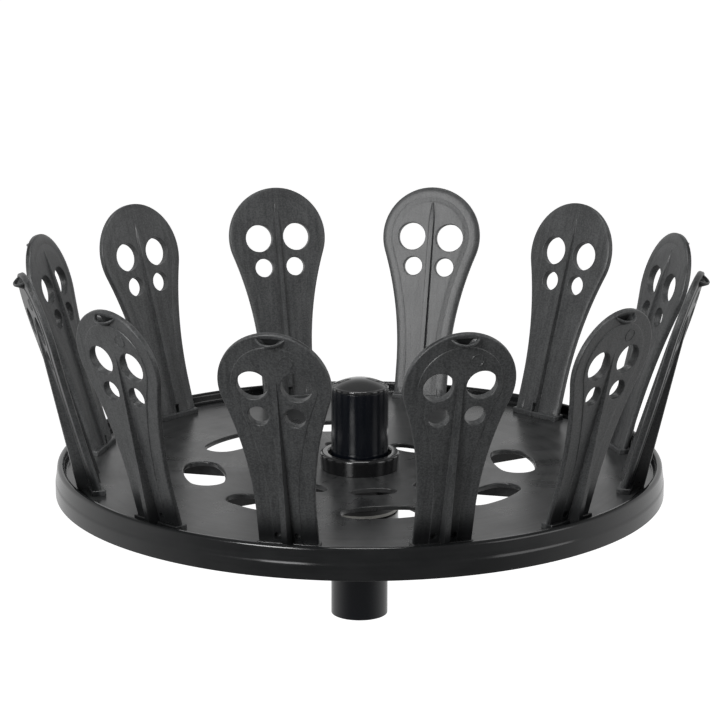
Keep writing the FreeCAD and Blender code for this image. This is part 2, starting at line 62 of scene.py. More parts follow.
ROUND_SHARES = (0.0, 0.08, 0.29, 0.62, 1.0)  # a rounded edge's lines, as shares of its radius
PLASTIC_IOR = 1.5
OWN_PLACE = "own_place"
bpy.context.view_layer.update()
LOG = logging.getLogger("shoe_carousel")

Point = tuple[float, float]
Colour = tuple[float, float, float]


# ---- shader expressions --------------------------------------------------------------------
class Signal:
    """A changing shader value that can stand in a Python expression."""

    def __init__(self, bench: "Bench", socket: bpy.types.NodeSocket) -> None:
        """Keeps the bench and the output socket."""
        self.bench = bench
        self.socket = socket

    def __add__(self, other: "Signal | float") -> "Signal":
        """Sum."""
        return self.bench.maths("ADD", self, other)

    def __radd__(self, other: float) -> "Signal":
        """Sum, reflected."""
        return self.bench.maths("ADD", other, self)

    def __sub__(self, other: "Signal | float") -> "Signal":
        """Difference."""
        return self.bench.maths("SUBTRACT", self, other)

    def __rsub__(self, other: float) -> "Signal":
        """Difference, reflected."""
        return self.bench.maths("SUBTRACT", other, self)

    def __mul__(self, other: "Signal | float") -> "Signal":
        """Product."""
        return self.bench.maths("MULTIPLY", self, other)

    def __rmul__(self, other: float) -> "Signal":
        """Product, reflected."""
        return self.bench.maths("MULTIPLY", other, self)

    def larger(self, other: "Signal | float") -> "Signal":
        """The larger of two values."""
        return self.bench.maths("MAXIMUM", self, other)

    def ramp(self, low: float, high: float) -> "Signal":
        """A smooth step from 0 at low to 1 at high.

        Args:
            low: value that gives 0.
            high: value that gives 1; it may be under low, for a falling step.

        Returns:
            The step, limited to 0 and 1.
        """
        span = self.bench.node("ShaderNodeMapRange", {"interpolation_type": "SMOOTHSTEP"},
                               {"Value": self, "From Min": low, "From Max": high})
        return Signal(self.bench, span.outputs["Result"])


class Bench:
    """Builds the node tree of one material or of the world."""

    def __init__(self, owner: bpy.types.Material | bpy.types.World) -> None:
        """Empties the owner's node tree and keeps it."""
        owner.use_nodes = True
        self.owner = owner
        self.tree = owner.node_tree
        self.tree.nodes.clear()

    def node(self, kind: str, settings: dict | None = None,
             inputs: dict | None = None) -> bpy.types.Node:
        """Adds a node.

        Args:
            kind: the node's type.
            settings: the node's own properties, which are set first.
            inputs: socket name or number to a plain value or a Signal.

        Returns:
            The new node.
        """
        made = self.tree.nodes.new(kind)
        for name, value in (settings or {}).items():
            setattr(made, name, value)
        for name, value in (inputs or {}).items():
            if isinstance(value, Signal):
                self.tree.links.new(value.socket, made.inputs[name])
            else:
                made.inputs[name].default_value = value
        return made

    def maths(self, operation: str, first: Signal | float, second: Signal | float = 0.0) -> Signal:
        """Joins two values with a Math node."""
        made = self.node("ShaderNodeMath", {"operation": operation}, {0: first, 1: second})
        return Signal(self, made.outputs[0])

    def place(self) -> Signal:
        """Coordinates fixed to the piece, in metres."""
        return Signal(self, self.node("ShaderNodeTexCoord").outputs["Object"])

    def own_place(self) -> Signal:
        """Coordinates in which the piece was drawn, in metres."""
        made = self.node("ShaderNodeAttribute", {"attribute_name": OWN_PLACE})
        return Signal(self, made.outputs["Vector"])

    def parts_of(self, vector: Signal) -> tuple[Signal, Signal, Signal]:
        """The three numbers of a vector."""
        made = self.node("ShaderNodeSeparateXYZ", None, {0: vector})
        return tuple(Signal(self, output) for output in made.outputs)

    def vector(self, x: Signal | float, y: Signal | float, z: Signal | float) -> Signal:
        """A vector from three numbers."""
        made = self.node("ShaderNodeCombineXYZ", None, {0: x, 1: y, 2: z})
        return Signal(self, made.outputs[0])

    def scaled(self, vector: Signal, factors: tuple[float, float, float]) -> Signal:
        """A vector multiplied axis by axis."""
        made = self.node("ShaderNodeVectorMath", {"operation": "MULTIPLY"}, {0: vector, 1: factors})
        return Signal(self, made.outputs[0])

    def noise(self, where: Signal, scale: float, detail: float, rough: float) -> Signal:
        """Cloudy noise from 0 to 1.

        Args:
            where: the coordinates.
            scale: clouds per metre of those coordinates.
            detail: octaves.
            rough: strength of the finer octaves.

        Returns:
            The noise value.
        """
        made = self.node("ShaderNodeTexNoise", None,
                         {"Vector": where, "Scale": scale, "Detail": detail, "Roughness": rough})
        return Signal(self, made.outputs["Fac"])

    def blend(self, share: Signal, first: Signal | Colour, second: Signal | Colour) -> Signal:
        """A colour between two, by a share from 0 to 1."""
        ends = [end if isinstance(end, Signal) else (*end, 1.0) for end in (first, second)]
        made = self.node("ShaderNodeMix", {"data_type": "RGBA"}, {0: share, 6: ends[0], 7: ends[1]})
        return Signal(self, made.outputs[2])

    def bump(self, height: Signal, depth: float, strength: float) -> Signal:
        """A normal from a height.

        Args:
            height: value from 0 to 1.
            depth: metres that one unit of height stands for.
            strength: how much of the effect is kept.

        Returns:
            The normal.
        """
        made = self.node("ShaderNodeBump", None,
                         {"Height": height, "Distance": depth, "Strength": strength})
        return Signal(self, made.outputs["Normal"])

    def surface(self, values: dict) -> None:
        """Ends the tree in a Principled surface with these socket values."""
        shader = self.node("ShaderNodeBsdfPrincipled", None, values)
        output = self.node("ShaderNodeOutputMaterial")
        self.tree.links.new(shader.outputs[0], output.inputs["Surface"])


def new_bench(name: str) -> Bench:
    """A bench for a new material of that name."""
    return Bench(bpy.data.materials.new(name))


# ---- finishes ------------------------------------------------------------------------------
@dataclass(frozen=True)
class HolderPlastic:
    """Charcoal moulded plastic of the shoe holders: fine grain, flow lines, a smoother foot, and painted
    shade near the tray floor and behind the thumb tab.
    """

    dark: Colour = (0.026, 0.027, 0.028)
    light: Colour = (0.068, 0.070, 0.071)
    # painted shade colour: laid on the lower outer face near the tray floor and in the recess behind the
    # thumb tab
    foot: Colour = (0.008, 0.0085, 0.009)
    rough: float = 0.41
    foot_rough: float = 0.3
    grain_per_metre: float = 900.0
    flow_per_metre: float = 420.0
    cloud_per_metre: float = 38.0
    tone_span: Point = (0.36, 0.64)
    grain_depth: float = 0.00016
    grain_strength: float = 0.7
    foot_top: float = 0.030
    foot_fade: float = 0.27
    # painted shade in the recess behind the thumb tab: its span along the blade, its upper edge, and how
    # far out of the face it reaches
    recess_low: Point = (0.1435, 0.1445)
    recess_high: Point = (0.1507, 0.1502)
    recess_out: Point = (0.0011, 0.0008)

    def make(self) -> bpy.types.Material:
        """Builds the material."""
        bench = new_bench("holder_plastic")
        place = bench.own_place()
        _, along, out = bench.parts_of(place)
        grain = bench.noise(place, self.grain_per_metre, 2.0, 0.6)
        flow = bench.noise(bench.scaled(place, (1.0, 0.05, 1.0)), self.flow_per_metre, 3.0, 0.6)
        cloud = bench.noise(place, self.cloud_per_metre, 4.0, 0.6)
        # painted shade mask: the outer face darkens towards the tray floor; the roughness also drops there
        foot = along.ramp(self.foot_top, self.foot_top * self.foot_fade) * out.ramp(-0.001, 0.001)
        tone = (cloud * 0.25 + flow * 0.25 + grain * 0.5).ramp(*self.tone_span)
        body = bench.blend(tone, self.dark, self.light)
        # painted shade mask for the recess behind the thumb tab
        recess = along.ramp(*self.recess_low) * along.ramp(*self.recess_high) * out.ramp(*self.recess_out)
        # the base takes the painted shade colour wherever either painted shade mask is strong
        share = (foot * 0.95).larger(recess * out.ramp(-0.001, 0.0) * 0.9)
        base = bench.blend(share, body, self.foot)
        rough = (self.rough + (cloud - 0.5) * 0.12 + (grain - 0.5) * 0.1
                 - foot * (self.rough - self.foot_rough))
        height = grain * 0.55 + flow * 0.45
        bench.surface({"Base Color": base, "Roughness": rough, "IOR": PLASTIC_IOR,
                       "Normal": bench.bump(height, self.grain_depth, self.grain_strength)})
        return bench.owner


@dataclass(frozen=True)
class TrayPlastic:
    """Black moulded plastic of the tray, with turning marks left by the mould."""

    name: str = "tray_floor"
    dark: Colour = (0.017, 0.0175, 0.018)
    light: Colour = (0.044, 0.045, 0.0455)
    rough: float = 0.3
    rough_spread: float = 0.2
    mark_depth: float = 0.00008
    mark_strength: float = 0.5
    turning_per_metre: float = 260.0
    swirl_per_metre: float = 60.0
    cloud_per_metre: float = 22.0
    grain_per_metre: float = 1300.0
    tone_span: Point = (0.38, 0.62)

    def make(self) -> bpy.types.Material:
        """Builds the material."""
        bench = new_bench(self.name)
        place = bench.place()
        x, y, z = bench.parts_of(place)
        radius = bench.maths("SQRT", x * x + y * y)
        angle = bench.maths("ARCTAN2", y, x)
        turning = bench.noise(bench.vector(radius, angle * 0.012, z), self.turning_per_metre, 4.0, 0.65)
        swirl = bench.noise(bench.vector(radius * 0.25, angle * 0.11, z), self.swirl_per_metre, 4.0, 0.6)
        cloud = bench.noise(place, self.cloud_per_metre, 4.0, 0.55)
        grain = bench.noise(place, self.grain_per_metre, 2.0, 0.5)
        tone = (turning * 0.4 + swirl * 0.38 + grain * 0.22).ramp(*self.tone_span)
        rough = self.rough + (cloud - 0.5) * self.rough_spread + (swirl - 0.5) * self.rough_spread
        height = turning * 0.5 + swirl * 0.25 + grain * 0.25
        bench.surface({"Base Color": bench.blend(tone, self.dark, self.light), "Roughness": rough,
                       "IOR": PLASTIC_IOR,
                       "Normal": bench.bump(height, self.mark_depth, self.mark_strength)})
        return bench.owner


@dataclass(frozen=True)
class GlossBlack:
    """Deep gloss black, moulded or enamelled, with a faint orange peel and fine dust."""

    name: str
    base: Colour = (0.006, 0.006, 0.0065)
    dust: Colour = (0.02, 0.021, 0.022)
    rough: float = 0.09
    peel_per_metre: float = 260.0
    peel_depth: float = 0.00006
    peel_strength: float = 0.35
    speck_per_metre: float = 2600.0
    speck_span: Point = (0.66, 0.78)
    smear_per_metre: float = 70.0
    coat: float = 0.6
    coat_rough: float = 0.05

    def make(self) -> bpy.types.Material:
        """Builds the material."""
        bench = new_bench(self.name)
        place = bench.place()
        peel = bench.noise(place, self.peel_per_metre, 2.0, 0.5)
        specks = bench.noise(place, self.speck_per_metre, 1.0, 0.5).ramp(*self.speck_span)
        smear = bench.noise(bench.scaled(place, (1.0, 1.0, 0.35)), self.smear_per_metre, 4.0, 0.6)
        rough = self.rough + (smear - 0.5) * 0.07 + specks * 0.12
        bench.surface({"Base Color": bench.blend(specks * 0.7 + smear * 0.15, self.base, self.dust),
                       "Roughness": rough, "IOR": PLASTIC_IOR, "Coat Weight": self.coat,
                       "Coat Roughness": self.coat_rough,
                       "Normal": bench.bump(peel, self.peel_depth, self.peel_strength)})
        return bench.owner


@dataclass(frozen=True)
class PlainPlastic:
    """Unpolished moulded plastic for bushes, washer and socket."""

    name: str
    base: Colour
    rough: float = 0.5
    dark_share: float = 0.72
    grain_per_metre: float = 900.0
    cloud_per_metre: float = 60.0

    def make(self) -> bpy.types.Material:
        """Builds the material."""
        bench = new_bench(self.name)
        place = bench.place()
        grain = bench.noise(place, self.grain_per_metre, 3.0, 0.6)
        cloud = bench.noise(place, self.cloud_per_metre, 3.0, 0.5)
        dark = tuple(self.dark_share * part for part in self.base)
        rough = self.rough + (cloud - 0.5) * 0.15
        tone = (grain * 0.5 + cloud * 0.5).ramp(0.3, 0.7)
        bench.surface({"Base Color": bench.blend(tone, dark, self.base),
                       "Roughness": rough, "Normal": bench.bump(grain, 0.0001, 0.4)})
        return bench.owner


@dataclass(frozen=True)
class ZincSteel:
    """Bright zinc plate with drawn scratches."""

    base: Colour = (0.50, 0.51, 0.53)
    worn: Colour = (0.36, 0.36, 0.37)
    scratch_per_metre: float = 2400.0
    cloud_per_metre: float = 300.0

    def make(self) -> bpy.types.Material:
        """Builds the material."""
        bench = new_bench("zinc_steel")
        place = bench.place()
        drawn = bench.noise(bench.scaled(place, (0.08, 0.08, 1.0)), self.scratch_per_metre, 3.0, 0.6)
        cloud = bench.noise(place, self.cloud_per_metre, 3.0, 0.5)
        bench.surface({"Base Color": bench.blend(cloud, self.worn, self.base), "Metallic": 1.0,
                       "Roughness": 0.28 + drawn * 0.2, "Normal": bench.bump(drawn, 0.00005, 0.5)})
        return bench.owner


# ---- mesh work -----------------------------------------------------------------------------
def circle(radius: float, steps: int, centre: Point = (0.0, 0.0)) -> list[Point]:
    """Points round a circle, in order."""
    turns = [2 * math.pi * step / steps for step in range(steps)]
    return [(centre[0] + radius * math.cos(turn), centre[1] + radius * math.sin(turn)) for turn in turns]


def arc_points(centre: Point, radius: float, start: float, end: float, steps: int) -> list[Point]:
    """Points along an arc from one angle to another, both ends included."""
    turns = [start + (end - start) * step / steps for step in range(steps + 1)]
    return [(centre[0] + radius * math.cos(turn), centre[1] + radius * math.sin(turn)) for turn in turns]


def spread_angles(count: int, start: float) -> list[float]:
    """Evenly spaced angles in radians, from a start in degrees."""
    return [math.radians(start + 360.0 * step / count) for step in range(count)]


def closed_line(ring: list[Point]) -> list[Point]:
    """A ring's points with the first one repeated at the end."""
    return ring + ring[:1]


def rounded_path(corners: Iterable[tuple[float, float, float]], steps: int,
                 closed: bool = False) -> list[Point]:
    """A polyline with its corners rounded.

    Args:
        corners: (across, up, corner radius) for each corner; a radius of 0 keeps it sharp.
        steps: pieces in each rounded corner.
        closed: whether the last corner joins the first.

    Returns:
        The points in order.
    """
    spots = [(Vector((a, b)), r) for a, b, r in corners]
    count = len(spots)
    path: list[Point] = []
    for number, (spot, radius) in enumerate(spots):
        inner = closed or 0 < number < count - 1
        if not inner or radius <= 0:
            path.append(tuple(spot))
            continue
        back = (spots[number - 1][0] - spot).normalized()
        ahead = (spots[(number + 1) % count][0] - spot).normalized()
        half = back.angle(ahead) / 2
        if half > math.pi / 2 - 0.002:
            path += [tuple(spot)] * (steps + 1)
            continue
        reach = radius / math.tan(half)
        centre = spot + (back + ahead).normalized() * (radius / math.sin(half))
        first = spot + back * reach - centre
        last = spot + ahead * reach - centre
        sweep = first.angle_signed(last)
        for step in range(steps + 1):
            turn = -sweep * step / steps
            path.append((centre.x + first.x * math.cos(turn) - first.y * math.sin(turn),
                         centre.y + first.x * math.sin(turn) + first.y * math.cos(turn)))
    return path


def box_loop(half_x: float, half_y: float, corner: float, grow: float = 0.0, steps: int = 3) -> list[Point]:
    """A rectangle with round corners about the origin, grown all round."""
    radius = corner + grow
    points: list[Point] = []
    for quarter, (sx, sy) in enumerate(((1, 1), (-1, 1), (-1, -1), (1, -1))):
        centre = (sx * (half_x - corner), sy * (half_y - corner))
        start = quarter * math.pi / 2
        points += arc_points(centre, radius, start, start + math.pi / 2, steps)
    return points


def turned_points(points: Iterable[Point], angle: float, shift: Point = (0.0, 0.0)) -> list[Point]:
    """Points moved by shift and then turned about the origin by an angle in radians."""
    cosine, sine = math.cos(angle), math.sin(angle)
    moved = [(x + shift[0], y + shift[1]) for x, y in points]
    return [(x * cosine - y * sine, x * sine + y * cosine) for x, y in moved]


def ease(share: float) -> float:
    """Smooth step from 0 to 1 for a share that is limited to that span."""
    share = min(1.0, max(0.0, share))
    return share * share * (3 - 2 * share)


def edge_fall(distance: float, radius: float) -> float:
    """How far a rounded edge has dropped at a distance in from the border."""
    if distance >= radius:
        return 0.0
    inward = distance if distance > WELD else 0.0
    return radius - math.sqrt(max(0.0, radius ** 2 - (radius - inward) ** 2))


class Draft:
    """Points and faces of one mesh in millimetres, before it becomes an object."""

    def __init__(self) -> None:
        """Starts empty."""
        self.points: list[Vector] = []
        self.faces: list[tuple[int, ...]] = []
        self.finishes: list[int] = []

    def add(self, points: Iterable[Vector], faces: Iterable[tuple[int, ...]], finish: int = 0) -> None:
        """Adds a group of points and the faces that use them.

        Args:
            points: the corners.
            faces: corner numbers, counted within this group.
            finish: which of the piece's finishes they take.
        """
        start = len(self.points)
        self.points += [Vector(point) for point in points]
        for face in faces:
            self.faces.append(tuple(start + corner for corner in face))
            self.finishes.append(finish)

    def strip(self, rings: list[list[Vector]], finish: int = 0) -> None:
        """Joins neighbouring rings of equal length with faces.

        Args:
            rings: lists of points, one ring each.
            finish: which of the piece's finishes they take.
        """
        count = len(rings[0])
        faces = []
        for row in range(len(rings) - 1):
            for place in range(count):
                after = (place + 1) % count
                faces.append((row * count + place, row * count + after,
                              (row + 1) * count + after, (row + 1) * count + place))
        self.add([point for ring in rings for point in ring], faces, finish)

    def turn(self, outline: list[Point], steps: int, finish: int = 0, closed: bool = True) -> None:
        """Turns an outline of (radius, height) points about the upright axis.

        Args:
            outline: the points in order.
            steps: pieces round the circle.
            finish: which of the piece's finishes they take.
            closed: whether the outline's last point joins its first.
        """
        path = closed_line(outline) if closed else outline
        rings = []
        for radius, height in path:
            rings.append([Vector((x, y, height)) for x, y in circle(radius, steps)])
        self.strip(rings, finish)

    def puck(self, loop: Callable[[float], list[Point]], low: float, high: float,
             low_round: float, high_round: float, place: Matrix) -> None:
        """A solid slab over a loop, with rounded lower and upper edges.

        Args:
            loop: gives the outline, drawn in by a distance.
            low: height of the underside.
            high: height of the top.
            low_round: radius of the lower edge.
            high_round: radius of the upper edge.
            place: where the slab goes.
        """
        levels = []
        for share in reversed(ROUND_SHARES):
            turn = math.asin(1 - share)
            levels.append((share * low_round, low + low_round * (1 - math.cos(turn))))
        for share in ROUND_SHARES:
            turn = math.asin(1 - share)
            levels.append((share * high_round, high - high_round * (1 - math.cos(turn))))
        rings = [[place @ Vector((x, y, height)) for x, y in loop(inset)] for inset, height in levels]
        self.strip(rings)
        count = len(rings[0])
        self.add(rings[0], [tuple(range(count))[::-1]])
        self.add(rings[-1], [tuple(range(count))])

    def mesh(self, name: str, trims: Iterable[tuple[Vector, Vector]] = ()) -> bpy.types.Mesh:
        """Welds the draft into a mesh in metres.

        Args:
            name: the mesh's name.
            trims: planes as (point, normal) in millimetres; what lies along the normal is cut off.

        Returns:
            The mesh, with smooth faces and its sharp edges marked.
        """
        built = bmesh.new()
        corners = [built.verts.new(point) for point in self.points]
        for face, finish in zip(self.faces, self.finishes):
            kept = []
            for corner in face:
                if not kept or (corners[corner].co - kept[-1].co).length > SAME_SPOT:
                    kept.append(corners[corner])
            if len(kept) > 1 and (kept[0].co - kept[-1].co).length <= SAME_SPOT:
                kept.pop()
            if len(kept) > 2:
                built.faces.new(kept).material_index = finish
        bmesh.ops.remove_doubles(built, verts=built.verts, dist=WELD)
        for point, normal in trims:
            everything = built.verts[:] + built.edges[:] + built.faces[:]
            bmesh.ops.bisect_plane(built, geom=everything, plane_co=point, plane_no=normal,
                                   clear_outer=True)
            rim = [edge for edge in built.edges if edge.is_boundary]
            bmesh.ops.holes_fill(built, edges=rim, sides=0)
        bmesh.ops.recalc_face_normals(built, faces=built.faces)
        bmesh.ops.scale(built, vec=(MM, MM, MM), verts=built.verts)
        mesh = bpy.data.meshes.new(name)
        built.to_mesh(mesh)
        built.free()
        mesh.shade_smooth()
        mesh.set_sharp_from_angle(angle=SHARP_ANGLE)
        return mesh


@dataclass
class Sheet:
    """A flat sheet with holes, cut into triangles that follow its borders and its guide lines."""

    loops: list[list[Point]]
    inside: Callable[[float, float], float]
    spacing: float
    guides: list[list[Point]] = field(default_factory=list)
    row_share: float = 0.866
    clear_share: float = 0.55
    border_share: float = 0.3

    def triangles(self) -> tuple[list[Point], list[tuple[int, ...]]]:
        """Cuts the sheet.

        Returns:
            The points, and the triangles as corner numbers.
        """
        points: list[Vector] = []
        edges: list[tuple[int, int]] = []
        for loop in self.loops:
            start = len(points)
            points += [Vector(spot) for spot in loop]
            count = len(loop)
            edges += [(start + step, start + (step + 1) % count) for step in range(count)]
        for guide in self.guides:
            start = len(points)
            points += [Vector(spot) for spot in guide]
            edges += [(start + step, start + step + 1) for step in range(len(guide) - 1)]
        points += self._fill(points)
        spots, _, faces, _, _, _ = geometry.delaunay_2d_cdt(points, edges, [], 0, SAME_SPOT)
        kept = []
        for face in faces:
            x = sum(spots[corner].x for corner in face) / len(face)
            y = sum(spots[corner].y for corner in face) / len(face)
            if self.inside(x, y) > 0:
                kept.append(tuple(face))
        return [tuple(spot) for spot in spots], kept

    def _fill(self, taken: list[Vector]) -> list[Vector]:
        """Evenly spread inner points that keep clear of the lines already drawn."""
        tree = kdtree.KDTree(len(taken))
        for number, spot in enumerate(taken):
            tree.insert((spot.x, spot.y, 0.0), number)
        tree.balance()
        low_x, high_x = min(s.x for s in taken), max(s.x for s in taken)
        low_y, high_y = min(s.y for s in taken), max(s.y for s in taken)
        added = []
        rows = int((high_y - low_y) / (self.spacing * self.row_share)) + 1
        for row in range(rows):
            y = low_y + row * self.spacing * self.row_share
            x = low_x + (row % 2) * self.spacing / 2
            while x < high_x:
                clear = tree.find((x, y, 0.0))[2] > self.spacing * self.clear_share
                if clear and self.inside(x, y) > self.spacing * self.border_share:
                    added.append(Vector((x, y)))
                x += self.spacing
        return added


class Body(Enum):
    """The rigid bodies that pieces ride on; the holders' bodies are numbered."""

    POLE = "pole"
    TRAY = "tray"


def finish_piece(mesh: bpy.types.Mesh, node: str, body: str,
                 materials: list[bpy.types.Material], place: Matrix | None = None) -> None:
    """Makes an object of a mesh, dresses it and hangs it on its body.

    Args:
        mesh: the finished mesh.
        node: the CAD node that it stands for, from which it takes its name.
        body: the body that it rides on.
        materials: the piece's finishes, in the order of its face numbers.
        place: where the piece goes, if not as drawn; its drawn coordinates stay with it.
    """
    name = node + "_skin"
    piece = bpy.data.objects.new(name, mesh)
    bpy.context.scene.collection.objects.link(piece)
    for material in materials:
        mesh.materials.append(material)
    if place is not None:
        own = mesh.attributes.new(OWN_PLACE, "FLOAT_VECTOR", "POINT")
        own.data.foreach_set("vector", [part for corner in mesh.vertices for part in corner.co])
        mesh.transform(place)
    weighted = piece.modifiers.new("even_normals", "WEIGHTED_NORMAL")
    weighted.keep_sharp = True
    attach(piece, body)
    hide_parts(node)
    LOG.info("%s: %d points, rides on %s", name, len(mesh.vertices), body)


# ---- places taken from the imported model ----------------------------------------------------
@dataclass
class Layout:
    """Overall sizes and places, in millimetres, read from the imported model."""

    floor: float
    rim_top: float
    hub_under: float
    tray_radius: float
    tube_radius: float
    tube_top: float
    cap_top: float
    collar_radius: float
    collar_top: float
    rim_drop: float = 14.0
    foot_inset: float = 22.2
    holder_count: int = 12
    holder_start: float = 15.0

    @property
    def rim_base(self) -> float:
        """Height of the rim's lower edge."""
        return self.floor - self.rim_drop

    @property
    def holder_ring(self) -> float:
        """Radius at which the holders stand."""
        return self.tray_radius - self.foot_inset

    def holder_angles(self) -> list[float]:
        """The holders' places round the tray, in radians."""
        return spread_angles(self.holder_count, self.holder_start)

    @classmethod
    def read(cls) -> "Layout":
        """Reads the layout from the frame."""
        tray_low, tray_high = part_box("tray")
        tube_low, tube_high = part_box("pole_tube")
        _, cap_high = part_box("pole_cap")
        collar_low, collar_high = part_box("hub_collar")
        spin = next(joint for joint in frame["joints"] if joint["name"] == "tray_spin")
        floor = spin["pos_m"][2]
        return cls(floor=floor / MM, rim_top=tray_high.z / MM,
                   hub_under=tray_low.z / MM, tray_radius=(tray_high.y - tray_low.y) / 2 / MM,
                   tube_radius=(tube_high.x - tube_low.x) / 2 / MM, tube_top=tube_high.z / MM,
                   cap_top=cap_high.z / MM, collar_radius=(collar_high.x - collar_low.x) / 2 / MM,
                   collar_top=collar_high.z / MM)


# ---- pole ----------------------------------------------------------------------------------
@dataclass
class Pole:
    """Painted tube, domed cap and the ring that carries the tray."""

    layout: Layout
    wall: float = 1.2
    cap_band: float = 2.3
    cap_round: float = 1.0
    plug_depth: float = 16.0
    plug_gap: float = 0.05
    dome_wall: float = 2.2
    steps: int = 128

    def build(self) -> None:
        """Builds the tube and the cap, and dresses the plain pieces."""
        self._tube()
        self._cap()
        dress("support_ring", GlossBlack("ring_gloss", rough=0.16))
        dress("support_pin", ZincSteel())
        dress("thrust_washer", PlainPlastic("nylon", (0.55, 0.54, 0.50)))
        dress("pole_socket", PlainPlastic("socket_plastic", (0.03, 0.03, 0.03)))

    def _tube(self) -> None:
        """The tube, with both ends slightly rolled."""
        outer = self.layout.tube_radius
        inner = outer - self.wall
        top = self.layout.tube_top
        outline = rounded_path([(inner, 0.0, 0.3), (outer, 0.0, 0.45), (outer, top, 0.45),
                                (inner, top, 0.3)], 4, True)
        draft = Draft()
        draft.turn(outline, self.steps)
        material = GlossBlack("pole_enamel", base=(0.002, 0.003, 0.006), rough=0.2, coat=0.0,
                              peel_per_metre=150.0).make()
        finish_piece(draft.mesh("pole_tube_skin"), "pole_tube", Body.POLE.value, [material])

    def _cap(self) -> None:
        """The cap: rounded band and low dome over the tube's end, plug inside it."""
        outer = self.layout.tube_radius
        seat = self.layout.tube_top
        band_top = seat + self.cap_band
        shoulder = outer - self.cap_round * 1.3
        rise = self.layout.cap_top - band_top
        sphere = (shoulder ** 2 + rise ** 2) / (2 * rise)
        centre = band_top + rise - sphere
        plug = outer - self.wall - self.plug_gap
        low = seat - self.plug_depth
        spread = math.asin(shoulder / sphere)
        dome = arc_points((0.0, centre), sphere, math.pi / 2 - spread, math.pi / 2, 16)
        band = rounded_path([
            (plug, low, 0.0), (plug, seat + SEAT_GAP, 0.0), (outer - 0.25, seat + SEAT_GAP, 0.2),
            (outer, seat + 0.5, 0.2), (outer, band_top + 0.1, self.cap_round), dome[0] + (0.0,)], 6)
        ceiling = band_top - self.dome_wall
        under = [(0.0, ceiling), (plug - 2.0, ceiling), (plug - 2.0, low)]
        draft = Draft()
        draft.turn(band[:-1] + dome + under, self.steps)
        material = GlossBlack("cap_satin", base=(0.022, 0.022, 0.0225), rough=0.12, coat=0.6,
                              peel_per_metre=90.0).make()
        finish_piece(draft.mesh("pole_cap_skin"), "pole_cap", Body.POLE.value, [material])


def dress(node: str, finish: GlossBlack | PlainPlastic | ZincSteel) -> None:
    """Gives a CAD node its finish.

    Args:
        node: the node's name.
        finish: the finish to make.
    """
    materials = frame["nodes"][node].data.materials
    materials.clear()
    materials.append(finish.make())
    LOG.info("%s: carried over with finish %s", node, materials[0].name)


# ---- tray ----------------------------------------------------------------------------------
@dataclass(frozen=True)
class Opening:
    """A four-arc oval in the floor; its long side runs round the tray."""

    ring: float
    half_length: float
    half_width: float
    end_radius: float
    steps: int = 14

    @property
    def end(self) -> float:
        """Distance from the oval's middle to the centre of an end arc."""
        return self.half_length - self.end_radius

    @property
    def side(self) -> float:
        """Radius of a long side's arc."""
        return ((self.half_width ** 2 + self.end ** 2 - self.end_radius ** 2)
                / (2 * (self.half_width - self.end_radius)))

    def loop(self, angle: float) -> Callable[[float], list[Point]]:
        """The oval at an angle in radians.

        Args:
            angle: where it lies round the tray.

        Returns:
            A function that draws it, grown by a distance.
        """
        centre = self.side - self.half_width
        lean = math.atan2(self.end, centre)

        def draw(grow: float) -> list[Point]:
            """The oval grown all round."""
            right = arc_points((-centre, 0.0), self.side + grow, -lean, lean, self.steps)
            top = arc_points((0.0, self.end), self.end_radius + grow, lean, math.pi - lean, self.steps)
            left = [(-x, -y) for x, y in right]
            bottom = [(-x, -y) for x, y in top]
            ring = right[:-1] + top[:-1] + left[:-1] + bottom[:-1]
            return turned_points(ring, angle, (self.ring, 0.0))

        return draw

    def clear_of(self, x: float, y: float) -> float:
        """Distance from the opening's edge to a point beside its own centre (under 0 inside)."""
        end, side = self.end, self.side
        x, y = abs(x), abs(y)
        if y * (side - self.half_width) > end * (x + side - self.half_width):
            return math.hypot(x, y - end) - self.end_radius
        return math.hypot(x + side - self.half_width, y) - side


